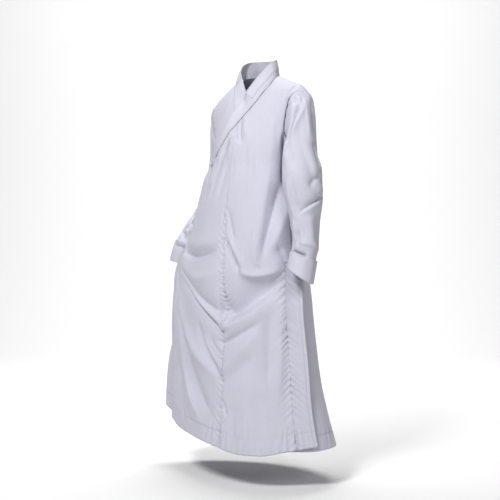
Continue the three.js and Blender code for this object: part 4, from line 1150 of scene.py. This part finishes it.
def make_front_left():
    core = 78
    a, v, keep = front_left_places(core, side=16)
    cloth = Cloth(outer(a, v)[0])
    x, z = cloth.points[..., 0], cloth.points[..., 2]
    from_strip = np.abs(cloth.across - cloth.across[:, core:core + 1])
    low = ease((SLIT_Z - z) / 60)
    height = crumple(x, z, 11, 60, 1.0) * ease(cloth.to_left / 40)
    height += centre_puckers(cloth.to_left, z)
    height += puckers(from_strip, z, 28, 24, 2.1, 0.9, 31) * low
    height += (seam_roll(cloth.to_left) + seam_roll(from_strip, 0.4) * low
               + seam_roll(cloth.to_right) * (1 - low) * ease((-60 - z) / 60))
    height += side_groove(cloth.to_right, z)
    height += hem_finish(cloth, seed=3) + band_groove(cloth.to_top, a)
    cloth.raise_by(height)
    hem = (cloth.to_hem, HEM_DEPTH, 0, slice(core + 1))
    finish_piece(cloth, "front_left_panel", keep=keep, rows=[hem])


def make_strip():
    i, j = np.meshgrid(spread(22, 0.4), np.linspace(0, 1, ROWS_BELOW + 1))
    v = np.full_like(i, SLIT)
    for _ in range(SETTLING_ROUNDS):
        a = mix(1 - strip_share(v) + seam_half(v), 1 - seam_half(v), i)
        v = mix(SLIT, drop_of(front_hem(a[-1:])), j**CROWDED_BELOW) + np.where(j == 0, STRIP_GAP, 0)
    cloth = Cloth(outer(a, v)[0])
    z = cloth.points[..., 2]
    height = puckers(cloth.to_left, z, 42, 24, 3.5, 0.9, 31) + seam_roll(cloth.to_left, 0.4)
    height += hem_finish(cloth, seed=6) + wave(z, 60, 44) * 0.8 * ease((20 - cloth.to_right) / 20)
    cloth.raise_by(height)
    rows = [(cloth.to_hem, HEM_DEPTH), (cloth.to_right, EDGE_STITCH, 1)]
    finish_piece(cloth, "front_left_side_strip", rows=rows)


def make_overlap():
    edges = lambda v, i: mix(-1 + seam_half(v), -seam_half(v), i)
    a, v = panel_places(spread(84, 0.35), ROWS_ABOVE + ROWS_BELOW, ROWS_ABOVE, edges, front_top, front_hem)
    cloth = Cloth(outer(a, v)[0])
    x, z = cloth.points[..., 0], cloth.points[..., 2]
    height = crumple(x, z, 13, 60, 1.0) * ease(cloth.to_right / 40)
    height += centre_puckers(cloth.to_right, z)
    height += seam_roll(cloth.to_right)
    height += hem_finish(cloth, seed=8) + band_groove(cloth.to_top, a)
    cloth.raise_by(height)
    rows = [(cloth.to_hem, HEM_DEPTH), (cloth.to_left, EDGE_STITCH, 1)]
    finish_piece(cloth, "front_overlap_panel", rows=rows)


def make_under_front():
    left_edge = 0.34

    def edges(v, i):
        to_neck = mix(-1 + right_seam_half(v), -NECK_SHARE, i * 2)
        return np.where(i <= 0.5, to_neck, mix(-NECK_SHARE, left_edge, i * 2 - 1))

    a, v = panel_places(spread(60, 0.5), 170, 90, edges, lambda a: front_top(-a), under_hem)
    cloth = Cloth(under(a, v)[0])
    x, z = cloth.points[..., 0], cloth.points[..., 2]
    height = crumple(x, z, 17, 70, 0.5) + seam_roll(cloth.to_left)
    cloth.raise_by(height)
    finish_piece(cloth, "under_front_panel", rows=[(cloth.to_hem, HEM_DEPTH)])


def make_back():
    lap, core, above, below = 20, 116, 100, 110
    rows = above + below
    columns = np.concatenate([-np.linspace(1, 0, lap + 1)[:-1], spread(core, 0.45)])

    def edges(v, i):
        return np.where(i < 0, 1 - UNDERLAP_SHARE * i, mix(1 - seam_half(v), -1 + right_seam_half(v), i))

    a, v = panel_places(columns, rows, above, edges, lambda a: 0 * a + SHOULDER_GAP, back_hem)
    cloth = Cloth(rear(a, v)[0])
    keep = np.ones((rows, lap + core), bool)
    keep[:above + 9, :lap] = False      # the underlap starts 9 rows below the slit's start
    x, z = cloth.points[..., 0], cloth.points[..., 2]
    height = crumple(x, z, 19, 70, 1.2) * ease((1 - np.abs(a)) / 0.1)
    height += hem_finish(cloth, seed=12) * (a < 0.99)
    height += seam_roll(cloth.to_right) + side_groove(cloth.across - cloth.across[:, lap:lap + 1], z)
    cloth.raise_by(height)
    finish_piece(cloth, "back_panel", keep=keep, rows=[(cloth.to_hem, HEM_DEPTH)])


# Collar

SHOULDER_AT = 3     # the number at where the band passes from the neck's table to the chest's
GUARD_FROM = 1 - GUARD_SHARE    # the share of the band's width where the guard starts
neck_at = row_of(COLLAR_NECK, "at")
chest_at = row_of(COLLAR_CHEST, "at")


def band_point(at, t, side):
    """A point of the collar band: at is the number along it in the two tables, and t is the share across it,
    from the seam edge to the free edge."""
    front = outer if side > 0 else under
    row = neck_at(np.minimum(at, SHOULDER_AT))
    on_back = rear(row.a * side, NAPE_LEVEL, BAND_LIFT)[0]
    on_front = front(row.a * side, NECK_LEVEL, BAND_LIFT)[0]
    seam = mix(on_back, on_front, ease(at - 2)[..., None])
    neck = mix(seam, stack(row.edgeX * side, row.edgeY, row.edgeZ), t[..., None])
    row = chest_at(np.maximum(at, SHOULDER_AT))
    a, v = place_on(outer_front, row.seamX, row.seamZ)
    seam = front(a * side, np.maximum(NECK_LEVEL, v), BAND_LIFT)[0]
    tucked = 0 if side > 0 else 18 * ease((at - 3.2) / 2)
    free = mix(seam, stack(row.edgeX * side, row.edgeY + tucked, row.edgeZ), t[..., None])
    a, v = place_on(outer_front, mix(row.seamX, row.edgeX, t), mix(row.seamZ, row.edgeZ, t))
    chest = mix(free, front(a * side, v, BAND_LIFT)[0], ease((at - 6) / 0.8)[..., None])
    return np.where((at < SHOULDER_AT)[..., None], neck, chest)


def band_finish(cloth, lines, seed):
    """A doubled band: a little full between its stitched edges, which round away."""
    across = np.minimum(cloth.to_top, cloth.to_hem)
    height = 0.6 * ease(across / 9) - 1.0 * np.exp(-((across / 1.4) ** 2))
    height -= 1.1 * lines
    height += 0.35 * wave(cloth.across, 16, seed) * np.exp(-((across - 5) / 7) ** 2)
    height *= ease((cloth.to_left + 1) / 5) * ease((cloth.to_right + 1) / 5)
    cloth.raise_by(height)


def make_band(node, side, ends, columns, rows, from_share, lift, seed, sewn_to):
    """Makes a band, or a guard that starts at from_share of the band's width and lies on it by lift."""
    at, t = np.meshgrid(mix(NAPE_GAP, ends, spread(columns, 0.5)), mix(1, from_share, spread(rows, 0.25)))
    if side > 0:
        at, t = at[:, ::-1], t[:, ::-1]
    cloth = Cloth(band_point(at, t, side))
    cloth.raise_by(np.full(cloth.across.shape, lift))
    cloth.measure()
    sewn = [(cloth.to_top, BAND_STITCH), (cloth.to_hem, BAND_STITCH)]
    lines = np.maximum.reduce([stitch_line(distance, place, 1.5) for distance, place in sewn])
    band_finish(cloth, lines, seed)
    finish_piece(cloth, node, wall=BAND_WALL, stitched=lines, rows=sewn)


# Sleeves and cuffs

# to_section is how many millimetres of the cuff go to one section's number
LEFT_ARM = SimpleNamespace(
    side=1, row=row_of(LEFT_SLEEVE, "at"), folds=LEFT_SLEEVE_FOLDS, to_section=79)
RIGHT_ARM = SimpleNamespace(
    side=-1, row=row_of(RIGHT_SLEEVE, "at"), folds=RIGHT_SLEEVE_FOLDS, to_section=43)


def armhole(side, around):
    """The armhole's points, and the way in which the sleeve's cloth leaves them."""
    front = around <= 0.5
    v = mix(SHOULDER_GAP, 0.999, np.where(front, around * 2, 2 - around * 2))
    a = np.where(front, side * (1 - arm_cut(v)) if side > 0 else -1.0, float(side))
    chart, plain = (outer, outer_front) if side > 0 else (under, under_front)
    edge = np.where(front[..., None], chart(a, v)[0], rear(a, v)[0])
    ahead = [np.where(front[..., None], x, y) for x, y in zip(plain(a, v), rear(a, v))]
    behind = np.where(front[..., None], plain(a - side * 0.03, v)[0], rear(a - side * 0.03, v)[0])
    rise = arm_crease(a, v) * front / ARM_CREASE if side > 0 else 0 * v
    leave = unit(ahead[0] - behind) + ahead[1] * rise[..., None]
    outwards = ease((v - 0.55) / 0.4)[..., None]
    return edge, unit(mix(leave, np.array([side, 0, -0.2]), outwards))


def sleeve_fold(arm, s, around):
    """How far a sleeve's folds lift its cloth."""
    z = -s * np.where(s < 0, CAP_LENGTH, ROW_LENGTH)
    x = around * GIRTH
    height = RELIEF * (fold_height(arm.folds, x, z) + fold_height(arm.folds, x - GIRTH, z))
    return height * ease((1 + s) / 0.2) * ease((FOLDS_END - s) / 0.15)


def sleeve_point(arm, s, around):
    """A point of a sleeve: s counts its sections, from -1 at the armhole, and around runs from its outer side
    over the front."""
    s, around = np.broadcast_arrays(s, around)
    at = np.maximum(0, s)
    row = arm.row(at)
    after, before = arm.row(np.minimum(at + 0.05, LAST_SECTION)), arm.row(np.maximum(at - 0.05, 0))
    along = unit(stack(after.x - before.x, after.y - before.y, after.z - before.z))
    fore = unit(stack(0, -1, 0) + along * along[..., 1:2])
    out = unit(np.cross(along, fore) * -arm.side)
    out = np.where((out[..., :1] * arm.side < 0), -out, out)
    angle = around * 2 * np.pi
    round_it = lambda middle, across, deep: (middle + out * (np.cos(angle) * across)[..., None]
                                             + fore * (np.sin(angle) * deep)[..., None])
    folds = sleeve_fold(arm, s, around)
    height = np.where(s >= 0, folds, 0)
    ring = (round_it(stack(row.x, row.y, row.z), row.across + height, row.deep + height)
            + along * (np.cos(angle) * row.slant)[..., None])
    edge, leave = armhole(arm.side, around)
    edge = edge + np.array([arm.side * ARMHOLE_GAP, 0, 0])
    reach = np.linalg.norm(edge - ring, axis=-1, keepdims=True)
    step = stack(after.x - row.x, after.y - row.y, after.z - row.z)
    start = round_it(step, after.across - row.across, after.deep - row.deep)
    cap = bezier(edge, edge + leave * reach * 0.22, ring - unit(start) * reach * 0.3, ring,
                 np.minimum(1 + s, 1))
    return np.where((s >= 0)[..., None], ring, cap + round_it(0, 1, 1) * folds[..., None])


def ring_shares(arm, columns):
    """The shares round a sleeve, in the order that keeps the cloth's outer face outside."""
    shares = np.linspace(0, 1, columns + 1)
    return (1 - shares if arm.side > 0 else shares) % 1


def make_sleeve(node, arm, seed):
    columns, cap, low = 128, 66, 150
    s = np.concatenate([-1 + spread(cap, 0.4)[:-1], np.linspace(0, SLEEVE_ENDS, low + 1)])
    around, s = np.meshgrid(ring_shares(arm, columns), s)
    cloth = Cloth(sleeve_point(arm, s, around), wrap=True)
    rumples = crumple(np.cos(around * FULL_TURN) * 60, cloth.down, seed, 30, 0.8)
    height = rumples * ease((1 + s) / 0.3) * ease(SLEEVE_ENDS - s)
    height += (puckers(cloth.to_top, around * GIRTH, 22, 16, 1.6, 0.4, seed + 3)
               + seam_roll(cloth.to_top, 0.7, 2.6))
    cloth.raise_by(height)
    finish_piece(cloth, node)


def make_cuff(node, arm, seed):
    """A cuff that follows its sleeve: over it, round the fold at its end, and back inside."""
    columns, rows, step = 96, 54, 0.01
    around, row = np.meshgrid(ring_shares(arm, columns), np.linspace(0, CUFF["row"][-1], rows + 1))
    profile = row_of(CUFF, "row")(row)
    s = SLEEVE_ENDS + np.minimum(profile.down, 0) / arm.to_section
    sleeve = lambda s, around: sleeve_point(arm, s, around)
    along = sleeve(np.minimum(s + step, LAST_SECTION), around) - sleeve(s - step, around)
    round_it = sleeve(s, (around + step) % 1) - sleeve(s, (around - step) % 1)
    normal = unit(np.cross(along, round_it) * -arm.side)
    middle = lambda s: mix(sleeve(s, around), sleeve(s, (around + 0.5) % 1), 0.5)
    run = unit(middle(s) - middle(s - 0.1))
    p = sleeve(s, around) + normal * profile.out[..., None] + run * np.maximum(profile.down, 0)[..., None]
    cloth = Cloth(p, wrap=True)
    outside = ease((5 - row) / 1.5)
    lines = stitch_line(cloth.to_top, CUFF_STITCH, 1.2) * outside
    height = -0.5 * lines + 0.3 * wave(around * 330, 30, seed) * outside
    height += -0.8 * np.exp(-((cloth.to_top / 1.2) ** 2))
    cloth.raise_by(height)
    sewn = [(cloth.to_top, CUFF_STITCH)]
    finish_piece(cloth, node, wall=CUFF_WALL, stitched=lines, rows=sewn)


# Settings, operators and panel


def colour(name, description, default):
    return FloatVectorProperty(name=name, description=description, default=default, subtype="COLOR", size=4,
                               min=0, max=1)


class RobeClothSettings(bpy.types.PropertyGroup):
    cloth_colour: colour("Cloth", "Colour of the robe's cloth", (0.520, 0.512, 0.595, 1.0))
    collar_colour: colour("Collar", "Colour of the collar's cloth", (0.540, 0.532, 0.615, 1.0))
    thread_colour: colour("Thread", "Colour of the sewing thread", (0.440, 0.432, 0.510, 1.0))


class RobeStageSettings(bpy.types.PropertyGroup):
    floor_level: FloatProperty(
        name="Floor", description="Height of the floor, from the neck base", default=-1.5, unit="LENGTH")
    camera_distance: FloatProperty(
        name="Camera distance", description="From the robe's upright axis", default=4.485, unit="LENGTH")
    camera_height: FloatProperty(
        name="Camera height", description="Against the neck base", default=-0.479, unit="LENGTH")
    lens: FloatProperty(
        name="Lens", description="Focal length in millimetres on a 36 mm sensor", default=86.14)
    key_power: FloatProperty(
        name="Key light", description="Power of the large soft light at the front", default=192,
        subtype="POWER")
    fill: FloatProperty(name="Fill", description="Brightness of the pale surroundings", default=0.07)
    wall_power: FloatProperty(
        name="Wall light", description="Power of the light on the wall behind", default=260, subtype="POWER")


class ROBE_OT_body(bpy.types.Operator):
    """Makes the back, the fronts and the side strip"""
    bl_idname = "robe.make_body"
    bl_label = "Body panels"

    def execute(self, context):
        make_front_left()
        make_strip()
        make_overlap()
        make_under_front()
        make_back()
        return {"FINISHED"}


class ROBE_OT_collar(bpy.types.Operator):
    """Makes both halves of the collar band and its guard"""
    bl_idname = "robe.make_collar"
    bl_label = "Collar"

    def execute(self, context):
        for band in (
            ("collar_band", 1, BAND_ENDS, 150, 22, 0, 0, 51, "front_left_panel"),
            ("under_collar_band", -1, UNDER_BAND_ENDS, 90, 18, 0, 0, 52, "under_front_panel"),
            ("collar_guard", 1, GUARD_ENDS, 110, 20, GUARD_FROM, GUARD_LIFT, 53, "collar_band"),
            ("under_collar_guard", -1, UNDER_GUARD_ENDS, 60, 16, GUARD_FROM, GUARD_LIFT, 54,
             "under_collar_band"),
        ):
            make_band(*band)
        for node in ("closure_knot", "closure_loop"):
            for slot in bpy.data.objects[node].material_slots:
                slot.material = collar_cloth()
        return {"FINISHED"}


class ROBE_OT_sleeves(bpy.types.Operator):
    """Makes both sleeves and their turned-back cuffs"""
    bl_idname = "robe.make_sleeves"
    bl_label = "Sleeves"

    def execute(self, context):
        make_sleeve("left_sleeve", LEFT_ARM, 61)
        make_sleeve("right_sleeve", RIGHT_ARM, 62)
        make_cuff("left_cuff", LEFT_ARM, 63)
        make_cuff("right_cuff", RIGHT_ARM, 64)
        return {"FINISHED"}


CAMERA_TURN = math.radians(39.0)    # round the robe from its front, towards its left side
CAMERA_YAW = math.radians(-0.488)   # off the robe's axis
CAMERA_PITCH = math.radians(-2.166)
AWAY = Vector((-math.sin(CAMERA_TURN), math.cos(CAMERA_TURN), 0))
ASIDE = Vector((math.cos(CAMERA_TURN), math.sin(CAMERA_TURN), 0))
FLOOR_HALF = 11     # half the floor's width, in metres


def make_floor(level):
    """A pale floor that sweeps up into a wall behind the robe."""
    near, bend_starts, radius, wall_top = -9.0, 3.4, 2.6, 9.0
    angles = [k * math.pi / 32 for k in range(17)]
    bend = [(bend_starts + radius * math.sin(angle), radius - radius * math.cos(angle)) for angle in angles]
    profile = [(near, 0.0)] + bend + [(bend_starts + radius, wall_top)]
    points = [tuple(AWAY * far + ASIDE * side + Vector((0, 0, level + up)))
              for far, up in profile for side in (-FLOOR_HALF, FLOOR_HALF)]
    mesh = bpy.data.meshes.new("floor")
    mesh.from_pydata(points, [], [(2 * k, 2 * k + 1, 2 * k + 3, 2 * k + 2) for k in range(len(profile) - 1)])
    mesh.polygons.foreach_set("use_smooth", [True] * len(mesh.polygons))
    mesh.materials.append(material("floor_paint", lambda n: plain_material(n, (0.8, 0.8, 0.8, 1), 0.9)))
    floor = linked("floor", mesh)
    floor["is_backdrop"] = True


def make_light(name, side, near, up, size, power, aim):
    """A square light, placed and aimed by metres aside, towards the camera and up."""
    light = bpy.data.lights.new(name, "AREA")
    light.energy, light.size = power, size
    lamp = linked(name, light)
    lamp.location = ASIDE * side - AWAY * near + Vector((0, 0, up))
    target = ASIDE * aim[0] - AWAY * aim[1] + Vector((0, 0, aim[2]))
    lamp.rotation_euler = (target - lamp.location).to_track_quat("-Z", "Y").to_euler()


class ROBE_OT_stage(bpy.types.Operator):
    """Makes the floor, the lights and the camera"""
    bl_idname = "robe.make_stage"
    bl_label = "Stage"

    def execute(self, context):
        stage, scene = context.scene.robe_stage, context.scene
        make_floor(stage.floor_level)
        world = bpy.data.worlds.new("studio")
        world.use_nodes = True
        background = world.node_tree.nodes["Background"]
        background.inputs[0].default_value = (1.0, 1.0, 1.0, 1)
        background.inputs[1].default_value = stage.fill
        scene.world = world
        make_light("key", -1.65, 3.1, 2.4, 1.1, stage.key_power, (0.0, 0.0, -0.7))
        make_light("front", 1.9, 3.4, 1.0, 1.4, stage.key_power * 0.22, (0.0, 0.0, -0.7))
        make_light("wall", 0.0, -1.2, 2.6, 2.6, stage.wall_power, (0.0, -5.0, -0.3))
        camera = bpy.data.cameras.new("camera")
        camera.lens, camera.sensor_width = stage.lens, 36
        eye = linked("camera", camera)
        place = math.sin(CAMERA_TURN) * stage.camera_distance, -math.cos(CAMERA_TURN) * stage.camera_distance
        eye.location = (*place, stage.camera_height)
        eye.rotation_euler = (math.pi / 2 + CAMERA_PITCH, 0, CAMERA_TURN - CAMERA_YAW)
        scene.camera = eye
        scene.view_settings.view_transform = "Standard"
        return {"FINISHED"}


class ROBE_PT_panel(bpy.types.Panel):
    """Lists the robe's pieces"""
    bl_idname = "ROBE_PT_panel"
    bl_label = "Robe"
    bl_space_type = "VIEW_3D"
    bl_region_type = "UI"
    bl_category = "Robe"

    def draw(self, context):
        for group in (context.scene.robe_cloth, context.scene.robe_stage):
            for key in group.__annotations__:
                self.layout.prop(group, key)
        for operator in OPERATORS:
            self.layout.operator(operator.bl_idname)


OPERATORS = (ROBE_OT_body, ROBE_OT_collar, ROBE_OT_sleeves, ROBE_OT_stage)
CLASSES = (RobeClothSettings, RobeStageSettings, *OPERATORS, ROBE_PT_panel)


def register():
    for cls in CLASSES:
        bpy.utils.register_class(cls)
    bpy.types.Scene.robe_cloth = PointerProperty(type=RobeClothSettings)
    bpy.types.Scene.robe_stage = PointerProperty(type=RobeStageSettings)


def unregister():
    del bpy.types.Scene.robe_cloth
    del bpy.types.Scene.robe_stage
    for cls in reversed(CLASSES):
        bpy.utils.unregister_class(cls)


def main():
    register()
    bpy.ops.robe.make_body()
    bpy.ops.robe.make_collar()
    bpy.ops.robe.make_sleeves()
    bpy.ops.robe.make_stage()
    {"frame": [list(corner) for corner in FRAME_BOX], "visual": [list(corner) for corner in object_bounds()]}


if __name__ == "__main__":
    main()
